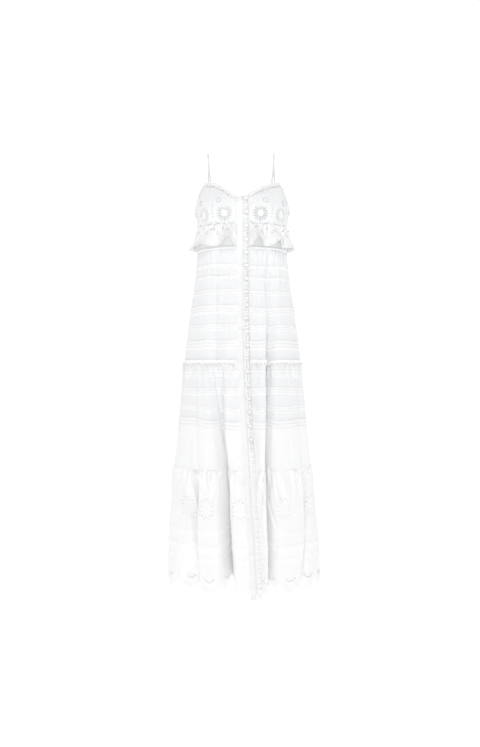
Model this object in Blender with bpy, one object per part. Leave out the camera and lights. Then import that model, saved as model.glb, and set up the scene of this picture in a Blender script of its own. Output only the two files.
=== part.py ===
"""A long white cotton sun dress: thin straps, a cutwork bodice with a flounce under the bust, and a skirt
of three gathered tiers with a scalloped hem. It keeps the hollow form of a wearer, with nobody in it.

Metres, +Z up. The front faces -Y, left and right are the wearer's, so left is +X. The origin is midway
between the two straps, at the level where they cross the shoulders."""

import math

import bpy
import numpy as np
from mathutils import Vector
from mathutils.geometry import delaunay_2d_cdt

# Heights of the seams and edges
UNDERARM = -0.188
BACK_TOP = -0.148
BACK_LEVEL = 0.7
FLOUNCE_SEAM = -0.244
WAIST = -0.3145
SEAM_ONE = -0.663
SEAM_TWO = -0.992
HEM_TIP = -1.350
WAIST_ARCH = 0.003
SCALLOP_RISE = 0.026
PLACKET_END = -1.366

# Thicknesses and gaps
WALL = 0.0020
TRIM_WALL = 0.0013
SEAM_GAP = 0.0003
LAID_ON = 0.0008
HOLE_CLEAR = 0.0015

# The form that the cloth hangs on, a row for each level
SECTION_COLUMNS = ("height", "half_width", "front", "back", "shift")
SECTIONS = (
    (-0.060, 0.1200, 0.070, 0.070, 0.003),
    (-0.100, 0.1330, 0.090, 0.085, 0.003),
    (-0.130, 0.1400, 0.104, 0.091, 0.003),
    (-0.160, 0.1445, 0.115, 0.095, 0.003),
    (-0.190, 0.1470, 0.119, 0.096, 0.004),
    (-0.244, 0.1415, 0.111, 0.094, 0.004),
    (-0.313, 0.1390, 0.102, 0.094, 0.004),
    (-0.366, 0.1456, 0.108, 0.101, 0.004),
    (-0.430, 0.1536, 0.116, 0.107, 0.004),
    (-0.526, 0.1690, 0.128, 0.117, 0.004),
    (-0.662, 0.1850, 0.143, 0.130, 0.005),
    (-0.830, 0.2015, 0.157, 0.142, 0.005),
    (-0.992, 0.2175, 0.168, 0.152, 0.005),
    (-1.110, 0.2305, 0.180, 0.162, 0.006),
    (-1.200, 0.2385, 0.188, 0.169, 0.008),
    (-1.350, 0.2435, 0.196, 0.175, 0.009),
)
ROUNDNESS = 2 / 2.2
BUST_POINT = 34
BUST_SWELL = 0.006
BUST_SPREAD = (0.05, 20)

# The skirt's folds, in order round from the right side seam. Each has its place in degrees from the
# front centre and its depth at the waist, at both seams and at the hem, how much deeper it is halfway
# down the last tier, half the width of its mouth, how far it draws the seams and the hem up, and the
# numbers of scallops and of mesh columns from one ridge to the next.
LEVELS = (WAIST, SEAM_ONE, SEAM_TWO, HEM_TIP)
FOLDS = (
    # place at the four levels     depth at the four levels            belly  mouth  lifts   scallops, columns
    ((-62, -55, -41, -36), (0.000, 0.004, 0.016, 0.022), 0.030, 0.010, (0.000, 0.002, 0.004), 3, 12),
    ((-35.5, -28, -14.2, -9.5), (0.000, 0.016, 0.060, 0.105), 0.000, 0.013, (0.000, 0.004, 0.022), 4, 10),
    ((9.5, 7.6, 9.9, 12.1), (0.000, 0.010, 0.011, 0.006), 0.000, 0.009, (0.000, 0.000, 0.000), 0, 6),
    ((34, 25.5, 19.6, 16.8), (0.000, 0.042, 0.074, 0.108), 0.000, 0.011, (-0.008, 0.020, 0.022), 4, 10),
    ((75, 72, 65, 46), (0.000, 0.004, 0.024, 0.085), 0.000, 0.010, (0.000, 0.002, 0.008), 5, 12),
    ((108, 110, 113, 116), (0.000, 0.007, 0.030, 0.072), 0.000, 0.014, (0.000, 0.004, 0.012), 4, 8),
    ((140, 142, 143, 145), (0.000, 0.012, 0.048, 0.090), 0.000, 0.013, (0.000, 0.006, 0.016), 4, 8),
    ((172, 174, 176, 178), (0.000, 0.016, 0.052, 0.096), 0.000, 0.012, (-0.004, 0.008, 0.018), 4, 8),
    ((206, 204, 203, 204), (0.000, 0.011, 0.044, 0.086), 0.000, 0.013, (0.000, 0.006, 0.016), 4, 8),
    ((240, 240, 239, 237), (0.000, 0.007, 0.032, 0.076), 0.000, 0.014, (0.000, 0.004, 0.012), 4, 8),
)
RIGHT_SEAM, PLACKET_RIDGE, LEFT_SEAM = 0, 2, 5
SEAM_RIDGES = {RIGHT_SEAM: (-90,) * 4, PLACKET_RIDGE: (-2.1, -1.3, 2.2, 5.3), LEFT_SEAM: (90,) * 4}
DEEP_FOLD = 0.050
SHALLOW_MOUTH = 0.62
MOUTH_MOST = 0.70
MOUTH_SHARE = 0.55
WALL_SHARE = 0.60
FACE_START = 0.42
FACE_EASE = 1.25
FLOOR_ROUND = 0.6
SEAM_PROBE = 0.01
SCALLOP_STEPS = 6
TIER_ROWS = (1.0, 0.55, 0.15, 0.042, 0.0)
HEM_ROWS = (0.0, 0.05, 0.22, 0.31, 0.40, 0.68, 1.0)

# The gathers under each seam: waves from one ridge to the next and their height. Their spacing and height
# drift by a share, so many times in each fold, and they keep clear of the placket by a share of a fold.
GATHERS_PER_FOLD = 3
GATHER_DRIFT = (0.21, 4.1)
GATHER_UNEVEN = (0.25, 7.3)
GATHER_QUIET = 0.35
GATHER_REACH = (0.000, 0.014, 0.050, 0.120)
GATHER_FADE = (0.0, 1.0, 0.6, 0.0)
TIER_GATHER = {"one": 0.0022, "two": 0.0028, "three": 0.0045}

# The bodice's top edge, as distance across and height, from the placket to the side
NECK_RIGHT = ((-0.003, -0.1565), (-0.014, -0.1560), (-0.049, -0.1300), (-0.080, -0.1105), (-0.112, -0.1010))
ARMHOLE_RIGHT = ((-0.112, -0.1010), (-0.121, -0.1180), (-0.1325, -0.1420), (-0.1400, -0.1650))
NECK_LEFT = ((-0.003, -0.1565), (0.007, -0.1565), (0.021, -0.1510), (0.064, -0.1240), (0.119, -0.1000))
ARMHOLE_LEFT = ((0.119, -0.1000), (0.127, -0.1150), (0.1370, -0.1380), (0.1440, -0.1620))
BODICE_COLUMNS = 12
BODICE_ROW = 0.021
ARMHOLE_POINTS = 7
STRAP_FRONT = 0.098
STRAP_TOP = 0.105
STRAP_BACK = 0.110
STRAP_CROWN = ((-0.020, -0.0040), (-0.008, 0.0009), (0.000, 0.0021), (0.008, 0.0007), (0.014, -0.0030))
STRAP_RISE = (0.33, 0.67, 0.92)
STRAP_FALL = (0.12, 0.40, 0.70)
STRAP_DIAMETER = 0.0042
STRAP_TUCK = 0.014
STRAP_CLEAR = 0.0009

# The flounce: its length and its lean from upright, in degrees, at places round the body
FLOUNCE_LENGTH = 0.068
FLOUNCE_STAND = 0.0012
FLOUNCE_LAP = 0.004
FLOUNCE_DROOP = 0.45
FLOUNCE_PLACES = (-90, -64, -46, -30, -13, -4, 8, 15, 27, 41, 54, 73, 90)
FLOUNCE_LEANS = (11, 34, 24, 5, 36, 9, 9, 38, 7, 36, 9, 33, 22)
FLOUNCE_BACK_PLACES = (90, 108, 124, 141, 157, 173, 190, 207, 223, 239, 254, 270)
FLOUNCE_BACK_LEANS = (22, 8, 34, 9, 32, 7, 35, 9, 31, 10, 33, 11)
FLOUNCE_ENDS = (-6.2, 7.6)
FLOUNCE_COLUMNS = (22, 36)

# Cutwork. A wheel is a ring of slits in the bodice, an oval is a ring of slits in the last tier.
WHEEL_HEIGHT = -0.208
WHEEL_SPACING = 0.0770
WHEEL_FIRST = 0.0560
WHEELS_A_SIDE = 2
WHEELS_BACK = 5
WHEEL_SLITS = 16
WHEEL_RADII = (0.0110, 0.0220)
SLIT_WIDTH = 0.0040
OVAL_HEIGHT = -1.102
OVAL_PLACES = (-48, -26.5, -2, 29.5, 67, 98, 129, 160, 191, 221, 252)
OVAL_SLITS = 10
OVAL_RADII = (0.019, 0.025)
OVAL_SLIT = (0.0044, 0.0080)

# The placket: the band lies on the seam between the fronts, and its frill lies beside it
BAND_HALF_WIDTH = 0.0095
FRILL_END = 0.0270
FRILL_WAVE = 0.0034
FRILL_STAND = 0.0024
BUTTON_ACROSS = 0.0195
BUTTON_FIRST = -0.1640
BUTTON_PITCH = 0.0406
BUTTON_COUNT = 19
BUTTON_RADIUS = 0.0056
BUTTON_HEIGHT = 0.0046
BUTTON_SIDES = 8
BUTTON_CLEAR = 0.0004

# Trims
NECK_FRILL = (-0.0030, 0.0095)
NECK_FRILL_WAVE = 0.0028
NECK_FRILL_STARTS = (0.0115, 0.0285)
ARM_FRILL = (-0.0040, 0.0070)
ARM_FRILL_ENDS = (0.0125, 0.0020)
BACK_FRILL_START = 0.0040
FRILL_WAVE_LENGTH = 0.015
FRILL_TOP_SHARE = 0.35
PIPING_HEIGHT = 0.0070
PIPING_STAND = 0.0018
SEAM_TRIM_STAND = 0.0018
HEADING_HEIGHT = 0.0150
HEADING_WAVE = 0.0018
TRIM_CLEAR = 0.0015

WHITE_COTTON = (0.84, 0.84, 0.83, 1.0)
WHITE_TRIM = (0.87, 0.87, 0.86, 1.0)
COTTON_ROUGHNESS = 0.9


def smooth(value):
    """A rise from 0 to 1 that starts and ends level."""
    value = np.clip(value, 0, 1)
    return value * value * (3 - 2 * value)


def spline(at, places, values):
    """A smooth curve through the values at rising places."""
    places, values = np.asarray(places, float), np.asarray(values, float)
    slopes = np.gradient(values, places)
    left = np.clip(np.searchsorted(places, at, side="right") - 1, 0, len(places) - 2)
    step = places[left + 1] - places[left]
    t = np.clip((at - places[left]) / step, 0, 1)
    start = (2 * t**3 - 3 * t**2 + 1) * values[left] + (t**3 - 2 * t**2 + t) * step * slopes[left]
    end = (3 * t**2 - 2 * t**3) * values[left + 1] + (t**3 - t**2) * step * slopes[left + 1]
    return start + end


def section(height, column):
    """One measure of the form at a height."""
    rows = np.array(SECTIONS)[::-1]
    return spline(height, rows[:, 0], rows[:, SECTION_COLUMNS.index(column)])


def power(value):
    """The rounded-box curve that the sections follow."""
    return np.sign(value) * np.abs(value) ** ROUNDNESS


def form(angle, height, inward=0.0):
    """A point of the form, angle in degrees from the front centre towards the left side."""
    angle, height = np.broadcast_arrays(np.asarray(angle, float), np.asarray(height, float))
    turn = np.radians(angle)
    depth = np.where(np.cos(turn) > 0, section(height, "front"), section(height, "back"))
    bust = np.exp(-(((height - UNDERARM) / BUST_SPREAD[0]) ** 2))
    sides = np.exp(-(((np.abs((angle + 180) % 360 - 180) - BUST_POINT) / BUST_SPREAD[1]) ** 2))
    x = section(height, "half_width") * power(np.sin(turn))
    y = -(depth + BUST_SWELL * bust * sides) * power(np.cos(turn))
    kept = 1 - inward / np.hypot(x, y)
    return np.stack([x * kept + section(height, "shift"), y * kept, height], axis=-1)


def outwards(surface, along, height, step):
    """The level direction that points straight out of a surface."""
    across = surface(along + step, height) - surface(along - step, height)
    out = np.stack([across[..., 1], -across[..., 0], np.zeros(across.shape[:-1])], axis=-1)
    return out / np.linalg.norm(out, axis=-1, keepdims=True)


def angle_across(across, height):
    """The angle at which the form's front passes a distance across."""
    share = (across - section(height, "shift")) / section(height, "half_width")
    return np.degrees(np.sign(share) * np.arcsin(np.clip(np.abs(share), 0, 1) ** (1 / ROUNDNESS)))


# The bodice's pattern is laid out by length round the bust, from the front centre
BUST_ANGLES = np.arange(-200.0, 300.25, 0.25)
BUST_STEPS = np.linalg.norm(np.diff(form(BUST_ANGLES, UNDERARM), axis=0), axis=1)
BUST_LENGTHS = np.concatenate([[0], np.cumsum(BUST_STEPS)])
BUST_LENGTHS -= np.interp(0, BUST_ANGLES, BUST_LENGTHS)


def length_at(angle):
    return np.interp(angle, BUST_ANGLES, BUST_LENGTHS)


def bodice(length, height):
    """A point of the bodice's outer face, from its place in the pattern."""
    return form(np.interp(length, BUST_LENGTHS, BUST_ANGLES), height)


def bodice_out(length, height):
    return outwards(bodice, length, height, 0.001)


def ridge_rows():
    """The place of each ridge at the four levels: midway between its folds, or on a seam."""
    places = [fold[0] for fold in FOLDS]
    rows = []
    for k in range(len(FOLDS) + 1):
        turns, k_round = divmod(k, len(FOLDS))
        if k_round in SEAM_RIDGES:
            rows.append(np.array(SEAM_RIDGES[k_round]) + 360.0 * turns)
        else:
            rows.append((np.array(places[k - 1]) + np.array(places[k])) / 2)
    return np.array(rows)


RIDGES = ridge_rows()
VALLEYS = np.array([fold[0] for fold in FOLDS], float)
DEPTHS = np.array([fold[1] for fold in FOLDS])
BELLIES = np.array([fold[2] for fold in FOLDS])
MOUTHS = np.array([fold[3] for fold in FOLDS])
LIFTS = np.array([fold[4] for fold in FOLDS])
SCALLOPS = np.array([fold[5] for fold in FOLDS])
COLUMNS = np.array([fold[6] for fold in FOLDS])


def at_level(rows, k, height):
    """The value in row k of a table of four levels, at a height."""
    place = np.interp(-height, -np.array(LEVELS), np.arange(4.0))
    low = np.clip(np.floor(place).astype(int), 0, 2)
    return rows[k, low] + (rows[k, low + 1] - rows[k, low]) * (place - low)


def fold_parts(fold):
    """Which fold, which side of it, and how far from its valley, 0, to its ridge, 1."""
    k = np.floor(fold).astype(int)
    side = fold - k - 0.5
    return k % len(FOLDS), k // len(FOLDS), np.where(side < 0, -1, 1), 2 * np.abs(side)


def fold_angle(fold, height):
    """The angle of a line down the skirt that is counted in folds from the right side seam."""
    k, turns, side, t = fold_parts(fold)
    valley = at_level(VALLEYS, k, height)
    half = np.where(side < 0, valley - at_level(RIDGES, k, height), at_level(RIDGES, k + 1, height) - valley)
    radius = section(height, "front")
    deep = np.clip(fold_depth(fold, height, True) / DEEP_FOLD, 0, 1)
    mouth = np.minimum(np.degrees(MOUTHS[k] / radius), MOUTH_MOST * half)
    mouth = mouth * deep + SHALLOW_MOUTH * half * (1 - deep)
    face = np.clip((t - FACE_START) / (1 - FACE_START), 0, 1) ** FACE_EASE
    floor = mouth * smooth(t / MOUTH_SHARE) ** FLOOR_ROUND
    return valley + 360 * turns + side * (floor + (half - mouth) * face)


def fold_depth(fold, height, whole=False):
    """How far the skirt goes in at this line, or at the fold's valley if whole."""
    k, _, _, t = fold_parts(fold)
    down = np.clip((SEAM_TWO - height) / (SEAM_TWO - HEM_TIP), 0, 1)
    depth = at_level(DEPTHS, k, height) + BELLIES[k] * np.sin(np.pi * down) ** 2
    return depth if whole else depth * (1 - smooth(t / WALL_SHARE))


def skirt(fold, height):
    return form(fold_angle(fold, height), height, fold_depth(fold, height))


def skirt_out(fold, height):
    return outwards(skirt, fold, height, 0.004)


def fold_at(angle, height):
    """The line down the skirt that passes an angle at a height."""
    lines = np.arange(-1, len(FOLDS) + 1, 0.01)
    return float(np.interp(angle, fold_angle(lines, np.full(len(lines), float(height))), lines))


def skirt_lengths(lines, height):
    """The length of cloth from the first line to each of the others, at one height."""
    points = skirt(lines, np.full(len(lines), float(height)))
    return np.concatenate([[0], np.cumsum(np.linalg.norm(np.diff(points, axis=0), axis=1))])


# How the cloth's length at the hem is shared out within each fold, from one ridge to the next
SHARES = np.linspace(0, 1, 101)
HEM_LENGTHS = [skirt_lengths(k + SHARES, HEM_TIP) for k in range(len(FOLDS))]


def hem_share(fold):
    """The place within its fold, by length of cloth along the hem."""
    k, _, _, _ = fold_parts(fold)
    part = fold - np.floor(fold)
    found = np.zeros(np.shape(fold))
    for one, lengths in enumerate(HEM_LENGTHS):
        found = np.where(k == one, np.interp(part, SHARES, lengths / lengths[-1]), found)
    return found


def lift(fold, seam):
    """How far the folds draw a seam up: 0 and 1 are the two seams, 2 is the hem."""
    k, _, _, t = fold_parts(fold)
    return LIFTS[k, seam] * (1 - smooth(t / WALL_SHARE))


def waist(fold):
    return WAIST + WAIST_ARCH * np.cos(np.radians(fold_angle(fold, WAIST)))


def seam_one(fold):
    return SEAM_ONE + lift(fold, 0)


def seam_two(fold):
    return SEAM_TWO + lift(fold, 1)


def hem(fold):
    """The scalloped hem: a tip on each ridge, and more round the folds between."""
    k, _, _, _ = fold_parts(fold)
    wave = np.abs(np.cos(np.pi * hem_share(fold) * SCALLOPS[k]))
    return HEM_TIP + SCALLOP_RISE * (1 - wave) + lift(fold, 2)


def gather(fold, below, tier):
    """The gathers under a seam, which fade with the distance below it and stay flat by the placket."""
    wave = np.sin(2 * np.pi * (GATHERS_PER_FOLD * fold + GATHER_DRIFT[0] * np.sin(GATHER_DRIFT[1] * fold)))
    uneven = 1 - GATHER_UNEVEN[0] * (1 - np.sin(GATHER_UNEVEN[1] * fold + 1))
    half_way = len(FOLDS) / 2
    apart = np.abs((fold - PLACKET_RIDGE + half_way) % len(FOLDS) - half_way)
    quiet = smooth(apart / GATHER_QUIET - 1)
    return TIER_GATHER[tier] * wave * uneven * quiet * np.interp(below, GATHER_REACH, GATHER_FADE)


def tier_face(fold, height, top, tier):
    """A point of a tier's outer face."""
    out = gather(fold, top(fold) - height, tier)
    return skirt(fold, height) + skirt_out(fold, height) * out[..., None]


def inside(points, loops):
    """Which points are inside the first loop and outside the holes."""
    odd = np.zeros(len(points), bool)
    for loop in loops:
        loop = np.asarray(loop)
        for a, b in zip(loop, np.roll(loop, -1, axis=0)):
            spans = (a[1] > points[:, 1]) != (b[1] > points[:, 1])
            if spans.any():
                at = a[0] + (points[:, 1] - a[1]) * (b[0] - a[0]) / (b[1] - a[1] + 1e-15)
                odd ^= spans & (points[:, 0] < at)
    return odd


def cut_out(loops, inner, columns=()):
    """The flat pattern piece inside the first loop, less the holes, as points and triangles.

    Edges of the triangles follow each column, a line of points, where no hole is in its way."""
    points, edges = [], []
    for loop in loops:
        edges += [(len(points) + i, len(points) + (i + 1) % len(loop)) for i in range(len(loop))]
        points += [tuple(point) for point in loop]
    middles = np.array([np.mean(hole, axis=0) for hole in loops[1:]])
    spokes = [np.linalg.norm(np.array(hole) - middle, axis=1) for hole, middle in zip(loops[1:], middles)]
    reach = np.array([lengths.max() for lengths in spokes]) + HOLE_CLEAR
    points += [p for p in inner if off_holes(p, p, middles, reach)]
    for column in columns:
        for a, b in zip(column[:-1], column[1:]):
            if off_holes(a, a, middles, reach):
                points.append(tuple(a))
                if off_holes(b, b, middles, reach) and off_holes(a, b, middles, reach):
                    edges.append((len(points) - 1, len(points)))
        if off_holes(column[-1], column[-1], middles, reach):
            points.append(tuple(column[-1]))
    found = delaunay_2d_cdt([Vector(point) for point in points], edges, [], 0, 1e-7)
    flat = np.array([point[:] for point in found[0]])
    triangles = np.array(found[2])
    triangles = triangles[inside(flat[triangles].mean(axis=1), loops)]
    used, index = np.unique(triangles, return_inverse=True)
    return flat[used], index.reshape(-1, 3)


def off_holes(a, b, middles, reach):
    """Whether the line from a to b passes clear of every hole."""
    a, way = np.array(a), np.array(b) - np.array(a)
    share = np.clip(((middles - a) @ way) / max(way @ way, 1e-12), 0, 1)
    return bool((np.linalg.norm(a + share[:, None] * way - middles, axis=1) > reach).all())


def material(name, colour):
    made = bpy.data.materials.new(name)
    made.use_nodes = True
    shader = made.node_tree.nodes["Principled BSDF"]
    shader.inputs["Base Color"].default_value = colour
    shader.inputs["Roughness"].default_value = COTTON_ROUGHNESS
    shader.inputs["Metallic"].default_value = 0.0
    return made


def add_object(name, vertices, faces, colour):
    mesh = bpy.data.meshes.new(name)
    mesh.from_pydata([tuple(v) for v in vertices], [], [tuple(int(i) for i in f) for f in faces])
    mesh.materials.append(material(name, colour))
    mesh.shade_smooth()
    mesh.set_sharp_from_angle(angle=math.radians(50))
    made = bpy.data.objects.new(name, mesh)
    bpy.context.scene.collection.objects.link(made)
    return made


def add_wall(name, outer, inner, triangles, colour=WHITE_COTTON):
    """A closed wall between two faces of the same pattern piece."""
    count = len(outer)
    ends = triangles[:, [0, 1, 1, 2, 2, 0]].reshape(-1, 2)
    have = {(a, b) for a, b in ends.tolist()}
    rim = [(b, a, a + count, b + count) for a, b in ends.tolist() if (b, a) not in have]
    faces = triangles.tolist() + (triangles[:, ::-1] + count).tolist() + rim
    return add_object(name, np.concatenate([outer, inner]), faces, colour)


def grid_triangles(columns, rows):
    """Triangles of a grid whose points run along each row, from the lowest row up."""
    found = []
    for r in range(rows - 1):
        for c in range(columns - 1):
            a = r * columns + c
            found += [(a, a + 1, a + columns + 1), (a, a + columns + 1, a + columns)]
    return np.array(found)


def add_strip(name, low_edge, high_edge, thickness=TRIM_WALL, colour=WHITE_TRIM, middle=None):
    """A closed strip between two lines of (outer point, outward direction)."""
    lines = [low_edge, high_edge] if middle is None else [low_edge, middle, high_edge]
    outer = np.concatenate([line[0] for line in lines])
    out = np.concatenate([line[1] for line in lines])
    triangles = grid_triangles(len(low_edge[0]), len(lines))
    return add_wall(name, outer, outer - thickness * out, triangles, colour)


def slit(middle, direction, length, width):
    """A wedge-shaped slit, wider towards its outer end."""
    along, across = np.array(direction), np.array([-direction[1], direction[0]])
    corners = ((-0.5, 0), (0.5, 0.5), (0.5, -0.5))
    return [tuple(np.array(middle) + along * u * length + across * v * width) for u, v in corners][::-1]


def wheel(length):
    """The slits of one bodice wheel, in the pattern."""
    holes = []
    for turn in np.arange(WHEEL_SLITS) * 2 * math.pi / WHEEL_SLITS:
        way = (math.cos(turn), math.sin(turn))
        reach = sum(WHEEL_RADII) / 2
        middle = (length + reach * way[0], WHEEL_HEIGHT + reach * way[1])
        holes.append(slit(middle, way, WHEEL_RADII[1] - WHEEL_RADII[0], SLIT_WIDTH))
    return holes


def oval(length):
    """The slits of one oval in the last tier, in the pattern."""
    holes = []
    for turn in (np.arange(OVAL_SLITS) + 0.5) * 2 * math.pi / OVAL_SLITS:
        middle = (length + OVAL_RADII[0] * math.cos(turn), OVAL_HEIGHT + OVAL_RADII[1] * math.sin(turn))
        way = np.array([math.cos(turn) / OVAL_RADII[0], math.sin(turn) / OVAL_RADII[1]])
        holes.append(slit(middle, way / np.linalg.norm(way), OVAL_SLIT[1], OVAL_SLIT[0]))
    return holes


def curve_through(points, count):
    """Points spread evenly along a smooth curve through a few given ones."""
    points = np.array(points, float)
    chord = np.concatenate([[0], np.cumsum(np.linalg.norm(np.diff(points, axis=0), axis=1))])
    at = np.linspace(0, chord[-1], count)
    return np.stack([spline(at, chord, points[:, i]) for i in range(points.shape[1])], axis=-1)


def pattern_edge(points, count):
    """An edge given across and in height, laid out in the bodice's pattern."""
    line = curve_through(points, count)
    return np.stack([length_at(angle_across(line[:, 0], line[:, 1])), line[:, 1]], axis=-1)


def bodice_front(name, neck, armhole, side):
    """One front of the bodice, from the placket to the side seam, and its top edges in the pattern."""
    centre = float(length_at(SEAM_RIDGES[PLACKET_RIDGE][0])) + side * SEAM_GAP / 2
    seam = float(length_at(side * 90)) - side * SEAM_GAP / 2
    neck_line = pattern_edge(neck, BODICE_COLUMNS)
    neck_line[0, 0] = centre
    arm_line = pattern_edge(armhole, ARMHOLE_POINTS)
    arm_line = np.concatenate([arm_line, [[seam, UNDERARM]]])
    bottom = FLOUNCE_SEAM + SEAM_GAP / 2
    low = np.stack([np.linspace(seam, centre, BODICE_COLUMNS), np.full(BODICE_COLUMNS, bottom)], axis=-1)
    up = np.stack([np.full(4, centre), np.linspace(bottom, neck_line[0, 1], 5)[1:]], axis=-1)
    loop = np.concatenate([low, up, neck_line[1:], arm_line[1:]])
    if side > 0:
        loop = loop[::-1]
    holes = []
    for i in range(WHEELS_A_SIDE):
        holes += wheel(side * (WHEEL_FIRST + WHEEL_SPACING * i))
    inner = []
    for u in np.linspace(seam, centre, BODICE_COLUMNS)[1:-1]:
        for height in np.arange(bottom + BODICE_ROW, armhole[0][1], BODICE_ROW):
            inner.append((float(u), float(height)))
    inner = [p for p in inner if clear_of(loop, p, BODICE_ROW / 3) and inside(np.array([p]), [loop])[0]]
    flat, triangles = cut_out([loop.tolist()] + holes, inner)
    outer = bodice(flat[:, 0], flat[:, 1])
    add_wall(name, outer, outer - WALL * bodice_out(flat[:, 0], flat[:, 1]), triangles)
    return neck_line, arm_line


def clear_of(loop, point, distance):
    return np.linalg.norm(np.asarray(loop) - np.array(point), axis=1).min() > distance


def bodice_back():
    """The back of the bodice, from side seam to side seam, straight across the top and scooped at the arms."""
    low, high = float(length_at(90)) + SEAM_GAP / 2, float(length_at(270)) - SEAM_GAP / 2
    bottom = FLOUNCE_SEAM + SEAM_GAP / 2
    across = np.linspace(low, high, 2 * BODICE_COLUMNS)
    low_edge = np.stack([across, np.full(len(across), bottom)], axis=-1)
    top_edge = np.stack([across, back_top(across)], axis=-1)
    loop = np.concatenate([low_edge, top_edge[::-1]])
    holes = []
    for i in range(WHEELS_BACK):
        place = (low + high) / 2 + (i - (WHEELS_BACK - 1) / 2) * WHEEL_SPACING
        holes += wheel(place)
    inner = [(float(u), WHEEL_HEIGHT + BODICE_ROW) for u in across[2:-2:2]]
    inner = [p for p in inner if clear_of(loop, p, BODICE_ROW / 3)]
    flat, triangles = cut_out([loop.tolist()] + holes, inner)
    outer = bodice(flat[:, 0], flat[:, 1])
    add_wall("bodice_back", outer, outer - WALL * bodice_out(flat[:, 0], flat[:, 1]), triangles)


def back_top(length):
    """The height of the back's top edge, level but for its rise to the underarms."""
    aside = np.abs(length - length_at(180)) / float(length_at(180) - length_at(90))
    return BACK_TOP + (UNDERARM - BACK_TOP) * smooth((aside - BACK_LEVEL) / (1 - BACK_LEVEL))


def midriff(name, start, end):
    """The plain band behind the flounce."""
    angles = np.linspace(start, end, 15 if end - start < 120 else 25)
    lengths = length_at(angles)
    lengths[0] += SEAM_GAP / 2
    lengths[-1] -= SEAM_GAP / 2
    low = WAIST + WAIST_ARCH * np.cos(np.radians(angles)) + SEAM_GAP / 2
    high = np.full(len(angles), FLOUNCE_SEAM - SEAM_GAP / 2)
    rows = [(bodice(lengths, h), bodice_out(lengths, h)) for h in (low, (low + high) / 2, high)]
    add_strip(name, rows[0], rows[2], WALL, WHITE_COTTON, rows[1])


def flounce(name, places, leans, start, end, count):
    """A stretch of the flounce, which leans out in waves from the seam under the bust."""
    angles = np.linspace(start, end, count)
    lengths = length_at(angles)
    lengths[0] += SEAM_GAP / 2
    lengths[-1] -= SEAM_GAP / 2
    lean = np.radians(wave_between(angles, places, leans))
    rows = []
    for down in (1.0, 0.5, 0.0):
        run = FLOUNCE_LENGTH * down
        away = FLOUNCE_STAND + LAID_ON + WALL + run * np.sin(lean) * (1 - FLOUNCE_DROOP * (1 - down))
        heights = FLOUNCE_SEAM + FLOUNCE_LAP - run * np.cos(lean)
        out = bodice_out(lengths, np.full(count, FLOUNCE_SEAM))
        base = bodice(lengths, np.full(count, FLOUNCE_SEAM))
        points = base + out * away[:, None]
        points[:, 2] = heights
        rows.append((points, out))
    add_strip(name, rows[0], rows[2], WALL, WHITE_COTTON, rows[1])


def wave_between(at, places, values):
    """Waves that pass level through each of the given values."""
    places, values = np.array(places, float), np.array(values, float)
    left = np.clip(np.searchsorted(places, at, side="right") - 1, 0, len(places) - 2)
    t = smooth((at - places[left]) / (places[left + 1] - places[left]))
    return values[left] + (values[left + 1] - values[left]) * t


def tier_columns(start, end):
    """The lines down the skirt that a panel's grid follows: close in the valleys, even on the wide faces."""
    lines = []
    for k in range(start, end):
        for first in (0, 50):
            half = slice(first, first + 51)
            lengths = HEM_LENGTHS[k][half] - HEM_LENGTHS[k][first]
            pace = (lengths / lengths[-1] + np.linspace(0, 1, 51)) / 2
            steps = np.linspace(0, 1, COLUMNS[k] // 2 + 1)[:-1]
            lines += list(k + np.interp(steps, pace, SHARES[half]))
    return np.array(lines + [end], float)


def beside_seams(lines, height):
    """The same lines at one height, the first and the last half a gap off their seams."""
    moved = lines.copy()
    for end, way in ((0, 1), (-1, -1)):
        near = lines[end] + way * np.array([0, SEAM_PROBE])
        span = skirt_lengths(near, height)[1]
        moved[end] += way * SEAM_PROBE * SEAM_GAP / 2 / span
    return moved


def tier_panel(name, tier, start, end, top, bottom):
    """One panel of a gathered tier, as a grid from its hem to its upper seam."""
    columns = tier_columns(start, end)
    outer, inner = [], []
    for share in TIER_ROWS:
        upper, lower = top(columns) - SEAM_GAP / 2, bottom(columns) + SEAM_GAP / 2
        heights = upper + (lower - upper) * share
        lines = beside_seams(columns, heights.mean())
        face = tier_face(lines, heights, top, tier)
        outer.append(face)
        inner.append(face - WALL * skirt_out(lines, heights))
    triangles = grid_triangles(len(columns), len(TIER_ROWS))
    add_wall(name, np.concatenate(outer), np.concatenate(inner), triangles)


def hem_panel(name, start, end):
    """One panel of the last tier, laid out flat so that its cutwork can be cut, then hung."""
    fine = np.arange(start, end + 0.001, 0.01)
    laid_fine = skirt_lengths(fine, OVAL_HEIGHT)
    low_line = hem_samples(start, end)
    lines = tier_columns(start, end)
    low = np.stack([np.interp(low_line, fine, laid_fine), hem(low_line)], axis=-1)
    upper = seam_two(lines) - SEAM_GAP
    high = np.stack([np.interp(lines, fine, laid_fine), upper], axis=-1)
    left = [(high[0, 0], upper[0] + (low[0, 1] - upper[0]) * share) for share in HEM_ROWS[1:-1]]
    right = [(high[-1, 0], upper[-1] + (low[-1, 1] - upper[-1]) * share) for share in HEM_ROWS[1:-1]]
    loop = np.concatenate([low, right, high[::-1], left[::-1]])
    loop[:, 0] = np.clip(loop[:, 0], SEAM_GAP / 2, laid_fine[-1] - SEAM_GAP / 2)
    levels = [upper + (hem_level(lines) - upper) * share for share in HEM_ROWS]
    columns = [[(high[i, 0], level[i]) for level in levels] for i in range(1, len(lines) - 1)]
    holes = []
    for place in OVAL_PLACES:
        line = fold_at(place, OVAL_HEIGHT)
        if start < line < end:
            holes += oval(float(np.interp(line, fine, laid_fine)))
    flat, triangles = cut_out([loop.tolist()] + holes, [], columns)
    at = np.interp(flat[:, 0], laid_fine, fine)
    outer = tier_face(at, flat[:, 1], seam_two, "three")
    add_wall(name, outer, outer - WALL * skirt_out(at, flat[:, 1]), triangles)


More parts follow.
